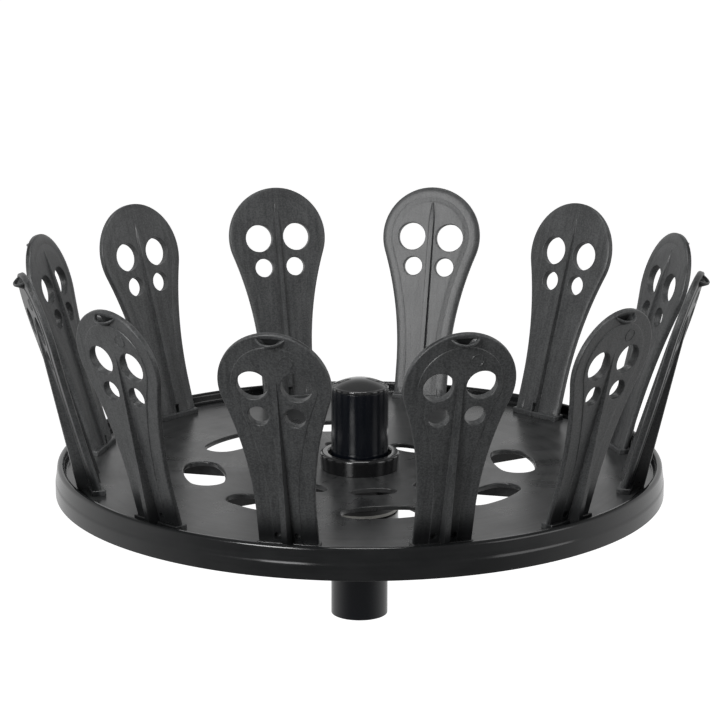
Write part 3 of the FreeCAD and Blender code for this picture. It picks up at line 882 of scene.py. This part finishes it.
@dataclass
class Tray:
    """Moulded tray: floor with openings, rolled rim, hub tube, ribs and holder sockets."""

    layout: Layout
    outer_opening: Opening = Opening(104.5, 28.0, 13.5, 11.5)
    inner_opening: Opening = Opening(58.0, 15.0, 7.8, 6.0)
    opening_count: int = 8
    opening_start: float = 7.5
    floor_thickness: float = 3.0
    floor_edge: float = 190.0
    lip_width: float = 4.6
    lip_setback: float = 1.6
    skirt_height: float = 9.4
    skirt_wall: float = 3.0
    shoulder_setback: float = 0.45
    shoulder_height: float = 1.6
    floor_fillet: float = 1.8
    hub_bore: float = 22.41
    hub_wall: float = 2.8
    slot_half: Point = (3.7, 17.9)
    slot_wall: float = 2.0
    slot_skirt: float = 12.6
    slots_from: float = 150.0
    opening_reach: float = 32.0
    rib_half: float = 1.1
    rib_start: float = 30.0
    rib_lift: float = 0.9
    top_round: float = 0.9
    under_round: float = 0.35
    spacing: float = 7.0
    steps: int = 360
    hub_steps: int = 96

    def build(self) -> None:
        """Builds the tray as one welded mesh with its ribs."""
        draft = Draft()
        self._floor(draft)
        self._rim(draft)
        self._hub(draft)
        self._sockets(draft)
        self._ribs(draft)
        floor = TrayPlastic("tray_floor").make()
        rim = TrayPlastic("tray_rim", dark=(0.005, 0.0055, 0.006), light=(0.010, 0.0105, 0.011),
                          rough=0.17, rough_spread=0.08, mark_depth=0.00003, mark_strength=0.4).make()
        finish_piece(draft.mesh("tray_skin"), "tray", Body.TRAY.value, [floor, rim])

    def _openings(self) -> list[tuple[Opening, float]]:
        """Every floor opening with its angle."""
        angles = spread_angles(self.opening_count, self.opening_start)
        return [(kind, angle) for kind in (self.outer_opening, self.inner_opening) for angle in angles]

    def _slot_loop(self, angle: float, grow: float) -> list[Point]:
        """A holder slot's edge at an angle, grown all round."""
        ring = self.layout.holder_ring
        return turned_points(box_loop(*self.slot_half, 0.4, grow), angle, (ring, 0.0))

    def _inside(self, slot_grow: float, bore: float) -> Callable[[float, float], float]:
        """A function that gives a point's distance from the nearest edge of the floor."""
        openings = self._openings()
        slots = self.layout.holder_angles()
        ring = self.layout.holder_ring

        def distance(x: float, y: float) -> float:
            """Distance into the sheet."""
            radius = math.hypot(x, y)
            nearest = min(self.floor_edge - radius, radius - bore)
            for kind, angle in openings:
                if abs(radius - kind.ring) < self.opening_reach:
                    local = turned_points([(x, y)], -angle)[0]
                    if local[0] > 0:
                        nearest = min(nearest, kind.clear_of(local[0] - kind.ring, local[1]))
            if radius > self.slots_from:
                for angle in slots:
                    local = turned_points([(x, y)], -angle)[0]
                    if local[0] > 0:
                        over = (abs(local[0] - ring) - self.slot_half[0] - slot_grow,
                                abs(local[1]) - self.slot_half[1] - slot_grow)
                        nearest = min(nearest, max(over))
            return nearest

        return distance

    def _sheet(self, draft: Draft, top: bool) -> None:
        """One face of the floor with its rounded opening edges.

        Args:
            draft: takes the faces.
            top: whether it is the upper face.
        """
        radius = self.top_round if top else self.under_round
        level = self.layout.floor if top else self.layout.floor - self.floor_thickness
        sign = -1 if top else 1
        slot_grow = 0.0 if top else self.slot_wall
        bore = self.hub_bore if top else self.hub_bore + self.hub_wall
        openings = self._openings()
        for kind, angle in openings:
            draw = kind.loop(angle)
            levels = []
            for ring in (radius * share for share in ROUND_SHARES):
                height = level + sign * edge_fall(ring, radius)
                levels.append([Vector((x, y, height)) for x, y in draw(ring)])
            draft.strip(levels)
        inside = self._inside(slot_grow, bore)
        loops = [kind.loop(angle)(radius) for kind, angle in openings]
        loops += [self._slot_loop(angle, slot_grow) for angle in self.layout.holder_angles()]
        loops += [circle(self.floor_edge, self.steps), circle(bore, self.hub_steps)]
        sheet = Sheet(loops, lambda x, y: self._clear_flat(inside, radius, x, y), self.spacing)
        spots, faces = sheet.triangles()
        draft.add([Vector((x, y, level)) for x, y in spots], faces)

    def _clear_flat(self, inside: Callable[[float, float], float], radius: float,
                    x: float, y: float) -> float:
        """Distance into the flat part of the floor, which starts where the opening edges end."""
        distance = inside(x, y)
        if distance > radius + 1:
            return distance - radius
        for kind, angle in self._openings():
            local = turned_points([(x, y)], -angle)[0]
            if local[0] > 0 and kind.clear_of(local[0] - kind.ring, local[1]) < radius:
                return -1.0
        return distance

    def _floor(self, draft: Draft) -> None:
        """Both faces of the floor and the walls of its openings."""
        self._sheet(draft, True)
        self._sheet(draft, False)
        high = self.layout.floor - self.top_round
        low = self.layout.floor - self.floor_thickness + self.under_round
        for kind, angle in self._openings():
            ring = kind.loop(angle)(0.0)
            draft.strip([[Vector((x, y, height)) for x, y in ring] for height in (high, low)])

    def _rim(self, draft: Draft) -> None:
        """Floor's edge, fillet, rounded lip, leaning upper wall, rounded shoulder and skirt."""
        edge = self.layout.tray_radius
        lip_outer = edge - self.lip_setback
        lip_inner = lip_outer - self.lip_width
        top = self.layout.rim_top
        floor = self.layout.floor
        under = floor - self.floor_thickness
        base = self.layout.rim_base
        skirt_top = base + self.skirt_height
        lip_round = self.lip_width / 2 - 0.1
        inner = edge - self.skirt_wall
        outline = rounded_path([
            (self.floor_edge, floor, 0.0), (lip_inner, floor, self.floor_fillet),
            (lip_inner, top, lip_round), (lip_outer, top, lip_round),
            (edge - self.shoulder_setback, skirt_top + self.shoulder_height, 7.5),
            (edge, skirt_top, 6.8), (edge, base, 0.7), (inner, base, 0.6), (inner, under, 2.0),
            (self.floor_edge, under, 0.0)], 8)
        draft.turn(outline, self.steps, 1, False)

    def _hub(self, draft: Draft) -> None:
        """Hub tube under the floor."""
        outer = self.hub_bore + self.hub_wall
        under = self.layout.hub_under
        outline = rounded_path([
            (self.hub_bore, self.layout.floor, 0.0), (self.hub_bore, under, 0.3), (outer, under, 0.5),
            (outer, self.layout.floor - self.floor_thickness, 0.0)], 4)
        draft.turn(outline, self.hub_steps, 0, False)

    def _sockets(self, draft: Draft) -> None:
        """Slot walls and the socket walls round them."""
        floor = self.layout.floor
        under = floor - self.floor_thickness
        low = floor - self.slot_skirt
        for angle in self.layout.holder_angles():
            slot = self._slot_loop(angle, 0.0)
            outer = self._slot_loop(angle, self.slot_wall)
            draft.strip([[Vector((*spot, height)) for spot in ring] for ring, height in
                         ((slot, floor), (slot, low), (outer, low), (outer, under))])

    def _ribs(self, draft: Draft) -> None:
        """Radial ribs under the floor, stopped at the sockets that they meet."""
        high = self.layout.floor - self.floor_thickness + 0.4
        low = self.layout.rim_base + self.rib_lift
        start = self.hub_bore + self.hub_wall / 2
        end = self.layout.tray_radius - self.skirt_wall / 2
        ring = self.layout.holder_ring
        reach = self.slot_half[0] + self.slot_wall / 2
        holders = {round(math.degrees(angle)) for angle in self.layout.holder_angles()}
        for angle in spread_angles(self.opening_count, self.rib_start):
            meets = round(math.degrees(angle)) % 360 in holders
            spans = [(start, ring - reach), (ring + reach, end)] if meets else [(start, end)]
            for near, far in spans:
                place = Matrix.Rotation(angle, 4, "Z") @ Matrix.Translation(((near + far) / 2, 0, 0))
                half = (far - near) / 2
                draft.puck(lambda inset, length=half: box_loop(length, self.rib_half, 0.3, -inset),
                           low, high, 0.25, 0.05, place)


# ---- hub collar ----------------------------------------------------------------------------
@dataclass
class Hub:
    """Gloss collar on the floor and the bushes behind it."""

    layout: Layout
    sleeve_bore: float = 20.96
    sleeve_outer: float = 22.36
    sleeve_depth: float = 8.0
    taper: float = 0.8
    crest: float = 1.9
    steps: int = 128

    def build(self) -> None:
        """Builds the collar and dresses the bushes."""
        top = self.layout.collar_top
        floor = self.layout.floor
        outer = self.layout.collar_radius
        outline = rounded_path([
            (self.sleeve_bore, floor - self.sleeve_depth, 0.2),
            (self.sleeve_outer, floor - self.sleeve_depth, 0.2),
            (self.sleeve_outer, floor + SEAT_GAP, 0.0), (outer - self.taper, floor + SEAT_GAP, 0.3),
            (outer, top - 2.4, 0.8), (outer - 0.2, top, self.crest), (self.sleeve_bore + 0.2, top, 1.2),
            (self.sleeve_bore, top - 2.2, 0.3)], 7, True)
        draft = Draft()
        draft.turn(outline, self.steps)
        material = GlossBlack("collar_gloss", rough=0.17, coat=0.35, peel_per_metre=200.0).make()
        finish_piece(draft.mesh("hub_collar_skin"), "hub_collar", Body.TRAY.value,
                     [material])
        dress("upper_bush", PlainPlastic("bush_plastic", (0.03, 0.03, 0.03)))
        dress("lower_bush", PlainPlastic("lower_bush_plastic", (0.03, 0.03, 0.03)))


# ---- shoe holder ---------------------------------------------------------------------------
@dataclass(frozen=True)
class Blade:
    """Outline of the blade: straight foot, hollow sides, round head, all tangent."""

    head_radius: float = 35.5
    half_width: float = 19.1
    head_centre: float = 117.6
    straight: float = 24.0
    bottom: float = -6.0
    foot_steps: int = 8
    side_steps: int = 26
    head_steps: int = 76

    @property
    def hollow(self) -> float:
        """Radius of the hollow side."""
        drop = self.head_centre - self.straight
        return ((drop ** 2 + self.half_width ** 2 - self.head_radius ** 2)
                / (2 * (self.head_radius - self.half_width)))

    @property
    def lean(self) -> float:
        """Angle of the hollow side's end, where it meets the head."""
        return math.asin((self.head_centre - self.straight) / (self.hollow + self.head_radius))

    def drawn_in(self, inset: float) -> list[Point]:
        """The outline, moved in by a distance, as points anticlockwise from the lower right."""
        hollow = self.hollow + inset
        head = self.head_radius - inset
        half = self.half_width - inset
        low = self.bottom + inset
        lean = self.lean
        right = [(half, low + (self.straight - self.bottom - inset) * step / self.foot_steps)
                 for step in range(self.foot_steps)]
        side = arc_points((self.half_width + self.hollow, self.straight), hollow, math.pi,
                          math.pi - lean, self.side_steps)
        crown = arc_points((0.0, self.head_centre), head, -lean, math.pi + lean, self.head_steps)
        left = [(-x, y) for x, y in reversed(right + side)]
        return right + side[:-1] + crown + left[1:]

    def depth(self, x: float, y: float) -> float:
        """How far a point is inside the outline's sides and head (under 0 outside)."""
        x = abs(x)
        centre = self.half_width + self.hollow
        if y < self.straight:
            return min(self.half_width - x, y - self.bottom)
        across = centre * (y - self.head_centre) - (self.straight - self.head_centre) * x
        if across > 0 or x > centre:
            return self.head_radius - math.hypot(x, y - self.head_centre)
        return math.hypot(x - centre, y - self.straight) - self.hollow


@dataclass(frozen=True)
class Hole:
    """A round hole beside the centre line, one on each side."""

    side: float
    along: float
    radius: float

    def loop(self, sign: int, steps: int = 44) -> Callable[[float], list[Point]]:
        """A function that draws the hole on one side, grown by a distance."""
        return lambda grow: circle(self.radius + grow, steps, (sign * self.side, self.along))

    def clear_of(self, x: float, y: float) -> float:
        """Distance from the nearer of the two holes' edges (under 0 inside)."""
        return math.hypot(abs(x) - self.side, y - self.along) - self.radius


@dataclass
class ShoeHolder:
    """One holder: blade with spine, ridge, holes and thumb tab, and its foot."""

    layout: Layout
    tilt: float = 16.9
    outline: Blade = Blade()
    front_field: Blade = Blade(27.2, 9.4)
    holes: tuple[Hole, ...] = (Hole(13.8, 117.0, 9.8), Hole(11.5, 95.6, 6.65))
    peg_hole: Hole = Hole(6.3, 9.2, 2.2)
    peg_depth: float = 2.9
    peg_draft: float = 0.15
    front: float = 2.0
    back: float = -1.6
    edge_round: float = 0.9
    hole_round: float = 0.55
    hole_shares: tuple[float, ...] = (0.1, 0.35, 1.0)
    spacing: float = 2.6
    field_step: float = 0.55
    field_draft: float = 0.55
    back_profile: tuple[Point, ...] = (
        (0.0, 0.05), (0.9, 0.36), (2.2, 0.7), (3.6, 0.85), (6.4, 0.85), (7.0, 0.7), (7.6, 0.72),
        (8.4, 0.81), (10.0, 0.85), (10.6, 0.95), (11.6, 1.0))
    spine_top: float = 129.0
    spine_rise: float = 8.6
    spine_crest: float = 1.75
    spine_flank: float = 0.75
    spine_tip: float = 0.06
    spine_tip_width: float = 0.35
    ridge_top: float = 142.0
    ridge_rise: float = 1.8
    ridge_crest: float = 1.4
    ridge_flank: float = 0.8
    ridge_step: float = 2.0
    ridge_onset: float = 12.0
    mark: Hole = Hole(9.1, 134.7, 4.0)
    mark_rise: float = 0.3
    mark_half: float = 0.4
    notch_half: float = 1.7
    notch_top: float = 9.0
    notch_depth: float = 0.6
    boss: Hole = Hole(14.2, 5.0, 2.6)
    boss_rise: float = 0.45
    tab_low: float = 142.6
    tab_tip: float = 149.0
    tab_high: float = 150.3
    tab_half: float = 9.4
    tab_reach: float = 6.0
    tab_wall: float = 1.2
    tab_pocket: float = 5.5
    tab_lip: float = 1.5
    recess: tuple[float, float, float] = (8.3, 144.2, 150.6)
    recess_depth: float = 1.4
    recess_draft: float = 0.3
    flange_reach: Point = (3.9, 5.7)
    flange_half: float = 19.8
    flange_height: float = 3.6
    flange_gap: float = 0.05
    tongue_half: Point = (3.4, 17.6)
    tongue_length: float = 12.4

    def build(self) -> None:
        """Builds one mesh and sets a copy of it at each place."""
        draft = Draft()
        self._blade(draft)
        blade = draft.mesh("shoe_holder_blade", [self._floor_plane()])
        extras = Draft()
        self._tab(extras)
        self._foot(extras)
        fittings = extras.mesh("shoe_holder_fittings")
        whole = self._joined(blade, fittings)
        material = HolderPlastic().make()
        for number, angle in enumerate(self.layout.holder_angles(), start=1):
            name = f"shoe_holder_{number:02d}"
            place = Matrix.Rotation(angle, 4, "Z") @ self._stance(MM)
            finish_piece(whole.copy(), name, name.replace("shoe_", ""), [material], place)

    def _joined(self, first: bpy.types.Mesh, second: bpy.types.Mesh) -> bpy.types.Mesh:
        """Both meshes as one."""
        built = bmesh.new()
        built.from_mesh(first)
        built.from_mesh(second)
        built.to_mesh(first)
        built.free()
        bpy.data.meshes.remove(second)
        return first

    def _stance(self, unit: float = 1.0) -> Matrix:
        """Takes blade coordinates (across, along, outward) to the row frame at angle zero."""
        sine = math.sin(math.radians(self.tilt))
        cosine = math.cos(math.radians(self.tilt))
        ring = self.layout.holder_ring
        return Matrix(((0.0, sine, cosine, ring * unit), (1.0, 0.0, 0.0, 0.0),
                       (0.0, cosine, -sine, self.layout.floor * unit), (0.0, 0.0, 0.0, 1.0)))

    def _foot_place(self) -> Matrix:
        """Takes foot coordinates (radial, across, up from the floor) to blade coordinates."""
        ring = self.layout.holder_ring
        return self._stance().inverted() @ Matrix.Translation((ring, 0.0, self.layout.floor))

    def _floor_plane(self) -> tuple[Vector, Vector]:
        """The plane just above the tray's floor, in blade coordinates, facing down."""
        place = self._foot_place()
        point = place @ Vector((0.0, 0.0, self.flange_gap))
        return point, place.to_3x3() @ Vector((0.0, 0.0, -1.0))

    # -- blade --
    def _inside(self, x: float, y: float) -> float:
        """Distance of a point from the nearest edge of the blade (under 0 outside)."""
        nearest = self.outline.depth(x, y)
        for hole in self.holes:
            nearest = min(nearest, hole.clear_of(x, y))
        return nearest

    def _spine_share(self, y: float) -> float:
        """Height of the outer spine as a share of its height at the floor."""
        return max(0.0, (self.spine_top - y) / self.spine_top)

    def _spine_width(self, share: float) -> float:
        """Half the width of the outer spine's crest, which narrows at its upper end."""
        tip = ease(share / self.spine_tip)
        return self.spine_crest * (self.spine_tip_width + (1 - self.spine_tip_width) * tip)

    def _edge_drop(self, x: float, y: float) -> float:
        """How far the rounded edges of outline and holes have dropped at a point."""
        drop = edge_fall(self.outline.depth(x, y), self.edge_round)
        for hole in self.holes:
            drop = max(drop, edge_fall(hole.clear_of(x, y), self.hole_round))
        return drop

    def _front_height(self, x: float, y: float) -> float:
        """Height of the outer face."""
        raised = self.field_step * ease(self.front_field.depth(x, y) / self.field_draft)
        share = self._spine_share(y)
        flank = self.spine_flank * (0.3 + share)
        spine = self.spine_rise * share * (1 - ease((abs(x) - self._spine_width(share)) / flank))
        peg = self.peg_depth * ease(-self.peg_hole.clear_of(x, y) / self.peg_draft)
        mark = 0.0
        if x > 0:
            mark = self.mark_rise * ease(2 - 2 * abs(self.mark.clear_of(x, y)) / self.mark_half)
        inward = min(y - self._recess_low(x), self.recess[2] - y)
        sunk = self.recess_depth * ease(inward / self.recess_draft)
        return self.front + max(raised, raised * 0.5 + spine) + mark - peg - sunk - self._edge_drop(x, y)

    def _recess_low(self, x: float) -> float:
        """Lower edge of the half-moon recess behind the thumb tab."""
        half, low, high = self.recess
        return high - (high - low) * (1 - min(1.0, (x / half) ** 2))

    def _back_height(self, x: float, y: float) -> float:
        """Height of the inner face."""
        below = max(0.0, self.ridge_top - y)
        crest = (self.ridge_step * (1 - math.exp(-below / self.ridge_onset))
                 + self.ridge_rise * below / self.ridge_top)
        ridge = crest * (1.0 - ease((abs(x) - self._crest_width(y)) / self.ridge_flank))
        if abs(x) < self.notch_half and y < self.notch_top:
            ridge = -self.notch_depth
        away = math.hypot(abs(x) - self.boss.side, y - self.boss.along)
        boss = self.boss_rise * ease(1.3 - away / self.boss.radius)
        return self.back - self._border_rise(x, y) - ridge - boss + self._edge_drop(x, y)

    def _crest_width(self, y: float) -> float:
        """Half the width of the inner ridge's crest, which comes to a point at its upper end."""
        return self.ridge_crest * min(1.0, max(0.0, self.ridge_top - y) / self.ridge_onset) ** 0.8

    def _border_rise(self, x: float, y: float) -> float:
        """Rise of the inner face's rolled border and field over its edge."""
        depth = self.outline.depth(x, y)
        for (near, low), (far, high) in zip(self.back_profile, self.back_profile[1:]):
            if depth < far:
                return low + (high - low) * max(0.0, depth - near) / (far - near)
        return self.back_profile[-1][1]

    def _blade(self, draft: Draft) -> None:
        """Both faces of the blade and the walls between them."""
        holes = [hole.loop(sign) for hole in self.holes for sign in (-1, 1)]
        loops = [draw(0.0) for draw in [self.outline.drawn_in] + holes]
        faces_of = ((self._front_height, self._front_guides), (self._back_height, self._back_guides))
        for height, lines in faces_of:
            guides = [closed_line(draw(self.hole_round * share))
                      for draw in holes for share in self.hole_shares]
            guides += [closed_line(self.outline.drawn_in(self.edge_round * share))
                       for share in ROUND_SHARES[1:]]
            spots, faces = Sheet(loops, self._inside, self.spacing, guides + lines()).triangles()
            draft.add([Vector((x, y, height(x, y))) for x, y in spots], faces)
        for ring in loops:
            draft.strip([[Vector((x, y, height(x, y))) for x, y in ring] for height, _ in faces_of])

    def _lengthwise(self, half: Callable[[float], float], low: float, high: float) -> list[list[Point]]:
        """A pair of lines along the blade at a changing distance from its centre line."""
        places = [low + (high - low) * step / 44 for step in range(45)]
        return [[(sign * half(y), y) for y in places] for sign in (-1, 1)]

    def _front_guides(self) -> list[list[Point]]:
        """Lines that the outer face's step, spine and blind holes need."""
        guides = [self.front_field.drawn_in(inset) for inset in (0.0, 0.18, 0.37, self.field_draft)]
        for share in (-0.5, 0.0, 0.25, 0.5, 0.75, 1.0, 1.5):
            def half(y: float, part: float = share) -> float:
                """Distance of this line from the centre line."""
                height = self._spine_share(y)
                return self._spine_width(height) + part * self.spine_flank * (0.3 + height)
            guides += self._lengthwise(half, self.outline.bottom, self.spine_top)
        half, _, high = self.recess
        across = [half * (step / 16 - 1) for step in range(33)]
        for inset in (0.0, 0.1, 0.2, 0.3):
            low_line = [(x, self._recess_low(x) + inset) for x in across]
            guides.append([spot for spot in low_line if spot[1] < high - inset - 0.02])
            guides.append([(-half, high - inset), (half, high - inset)])
        for grow in (-self.mark_half, -self.mark_half / 2, self.mark_half / 2, self.mark_half):
            guides.append(closed_line(self.mark.loop(1)(grow)))
        for grow in (-0.3, -0.15, 0.0, 0.3):
            guides += [closed_line(self.peg_hole.loop(sign, 24)(grow)) for sign in (-1, 1)]
        return guides

    def _back_guides(self) -> list[list[Point]]:
        """Lines that the inner face's bevel, ridge and notch need."""
        guides = [self.outline.drawn_in(place) for place, _ in self.back_profile[2:]]
        for part in (0.0, 0.25, 0.5, 0.75, 1.0):
            def half(y: float, share: float = part) -> float:
                """Distance of this line from the centre line."""
                return self._crest_width(y) + share * self.ridge_flank
            guides += self._lengthwise(half, self.outline.bottom, self.ridge_top)
        for edge in (self.notch_half - 0.02, self.notch_half + 0.08):
            guides.append([(-edge, self.outline.bottom), (-edge, self.notch_top), (edge, self.notch_top),
                           (edge, self.outline.bottom)])
        for radius in (1.0, 2.0, 3.4):
            guides += [closed_line(circle(radius, 20, (sign * self.boss.side, self.boss.along)))
                       for sign in (-1, 1)]
        return guides

    # -- thumb tab and foot --
    def _tab(self, draft: Draft) -> None:
        """Half-moon tab: a scoop with a slanting lip, hollowed from above."""
        bow = (self.tab_half ** 2 + self.tab_reach ** 2) / (2 * self.tab_reach)
        axis = self.front + self.tab_reach - bow
        reach = math.acos((self.front - axis) / bow) + 0.07
        columns = []
        for step in range(41):
            turn = reach * math.sin(math.pi * (step / 40 - 0.5))
            out = max(0.0, (axis + bow * math.cos(turn) - self.front) / self.tab_reach)
            lip = self.tab_high + (self.tab_tip - self.tab_high) * out
            under = lip - self.tab_lip
            low = under + (self.tab_low - under) * out ** 0.7
            root = bow - self.tab_reach - 0.9
            near = max(under + (low - under) * 0.3 + 0.8, lip - self.tab_pocket)
            far = max(low + 0.9, lip - self.tab_pocket)
            section = rounded_path([
                (root, low, 0.0), (bow - 0.3, under, 0.6), (bow, lip, 0.5), (bow - self.tab_wall, lip, 0.4),
                (bow - self.tab_wall - 0.9, near, 0.5), (root, far, 0.0)], 5)
            columns.append([Vector((along * math.sin(turn), up, axis + along * math.cos(turn)))
                            for along, up in section])
        draft.strip(columns)
        count = len(columns[0])
        draft.add(columns[0], [tuple(range(count))])
        draft.add(columns[-1], [tuple(range(count))[::-1]])

    def _foot(self, draft: Draft) -> None:
        """Flange that stands on the tray and the tongue that goes into its slot."""
        place = self._foot_place()
        gap = self.flange_gap
        near, far = self.flange_reach
        flange = place @ Matrix.Translation(((far - near) / 2, 0.0, 0.0))
        draft.puck(lambda inset: box_loop((near + far) / 2, self.flange_half, 1.0, -inset), gap,
                   gap + self.flange_height, 0.15, 0.8, flange)
        draft.puck(lambda inset: box_loop(*self.tongue_half, 0.8, -inset), -self.tongue_length, gap + 0.4,
                   1.0, 0.05, place)


# ---- studio --------------------------------------------------------------------------------
@dataclass(frozen=True)
class Softbox:
    """A rectangular soft light, placed round the tray and turned to face it."""

    name: str
    azimuth: float
    height: float
    distance: float
    width: float
    tall: float
    watts: float

    def build(self, centre: Vector, from_view: float) -> None:
        """Sets up the light.

        Args:
            centre: the point that it faces.
            from_view: the camera's azimuth, from which its own is counted.
        """
        turn = math.radians(from_view + self.azimuth)
        spot = Vector((math.sin(turn) * self.distance, -math.cos(turn) * self.distance, self.height))
        lamp = bpy.data.lights.new(self.name, "AREA")
        lamp.shape = "RECTANGLE"
        lamp.size = self.width
        lamp.size_y = self.tall
        lamp.energy = self.watts
        stand = bpy.data.objects.new(self.name, lamp)
        stand.location = spot
        stand.visible_camera = False
        stand.rotation_euler = (centre - spot).to_track_quat("-Z", "Y").to_euler()
        bpy.context.scene.collection.objects.link(stand)


@dataclass
class Studio:
    """Pale floor, soft lights and the camera."""

    layout: Layout
    floor_height: float = -0.9
    floor_size: float = 60.0
    view_azimuth: float = -1.2
    view_elevation: float = 14.41
    view_distance: float = 2.2454
    view_aim: float = 0.074
    view_roll: float = 0.139
    lens: float = 168.94
    sensor_width: float = 36.0
    clip_end: float = 200.0
    wall_light: float = 0.85
    room_light: float = 0.22
    softboxes: tuple[Softbox, ...] = (
        Softbox("key_left", -34.0, 1.0, 2.0, 0.7, 0.7, 28.0),
        Softbox("low_left", -26.0, 0.48, 2.2, 0.6, 0.36, 4.0),
        Softbox("overhead", 0.0, 2.2, 0.25, 1.1, 0.5, 16.0),
        Softbox("fill_right", 64.0, 0.75, 2.2, 1.3, 1.3, 10.0),
    )

    def build(self) -> None:
        """Builds the stage, the lights and the camera."""
        aim = Vector((0.0, 0.0, self.layout.floor * MM + self.view_aim))
        self._floor()
        self._world()
        for softbox in self.softboxes:
            softbox.build(aim, self.view_azimuth)
        self._camera(aim)
        bpy.context.scene.view_settings.view_transform = "Standard"

    def _floor(self) -> None:
        """Plain pale floor that lights nothing, far enough below to take no hard shadow."""
        mesh = bpy.data.meshes.new("studio_floor")
        built = bmesh.new()
        bmesh.ops.create_grid(built, x_segments=4, y_segments=4, size=self.floor_size / 2)
        built.to_mesh(mesh)
        built.free()
        ground = bpy.data.objects.new("studio_floor", mesh)
        ground.location = (0.0, 0.0, self.floor_height)
        bpy.context.scene.collection.objects.link(ground)
        ground.visible_glossy = False
        ground.visible_diffuse = False
        bench = new_bench("pale_floor")
        cloud = bench.noise(bench.place(), 0.8, 2.0, 0.5)
        bench.surface({"Base Color": bench.blend(cloud, (0.88, 0.88, 0.88), (0.9, 0.9, 0.9)),
                       "Roughness": 0.9, "Emission Color": (1.0, 1.0, 1.0, 1.0),
                       "Emission Strength": 0.75})
        mesh.materials.append(bench.owner)

    def _world(self) -> None:
        """Room light: pale wall behind, dimmer room in front and overhead; the camera sees it pale."""
        world = bpy.data.worlds.new("room")
        bpy.context.scene.world = world
        bench = Bench(world)
        direction = Signal(bench, bench.node("ShaderNodeTexCoord").outputs["Generated"])
        _, ahead, up = bench.parts_of(direction)
        wall = ahead.ramp(-0.9, 0.4) * up.ramp(0.75, 0.15)
        light = wall * (self.wall_light - self.room_light) + self.room_light
        light = light * up.ramp(-1.0, -0.35).larger(0.35)
        seen = Signal(bench, bench.node("ShaderNodeLightPath").outputs["Is Camera Ray"])
        shade = bench.node("ShaderNodeBackground", None, {0: (1.0, 1.0, 1.0, 1.0), 1: light + seen})
        output = bench.node("ShaderNodeOutputWorld")
        bench.tree.links.new(shade.outputs[0], output.inputs[0])

    def _camera(self, aim: Vector) -> None:
        """Camera at the catalogue view."""
        turn = math.radians(self.view_azimuth)
        rise = math.radians(self.view_elevation)
        away = Vector((math.sin(turn) * math.cos(rise), -math.cos(turn) * math.cos(rise), math.sin(rise)))
        lens = bpy.data.cameras.new("camera")
        lens.lens = self.lens
        lens.sensor_width = self.sensor_width
        lens.clip_end = self.clip_end
        camera = bpy.data.objects.new("camera", lens)
        camera.location = aim + away * self.view_distance
        look = (-away).to_track_quat("-Z", "Y").to_matrix().to_4x4()
        camera.rotation_euler = (look @ Matrix.Rotation(math.radians(self.view_roll), 4, "Z")).to_euler()
        bpy.context.scene.collection.objects.link(camera)
        bpy.context.scene.camera = camera


def main() -> None:
    """Builds the sub-assemblies in order."""
    logging.basicConfig(level=logging.INFO, format="%(name)s: %(message)s")
    layout = Layout.read()
    for part in (Pole(layout), Hub(layout), Tray(layout), ShoeHolder(layout), Studio(layout)):
        LOG.info("building %s", type(part).__name__)
        part.build()


if __name__ == "__main__":
    main()
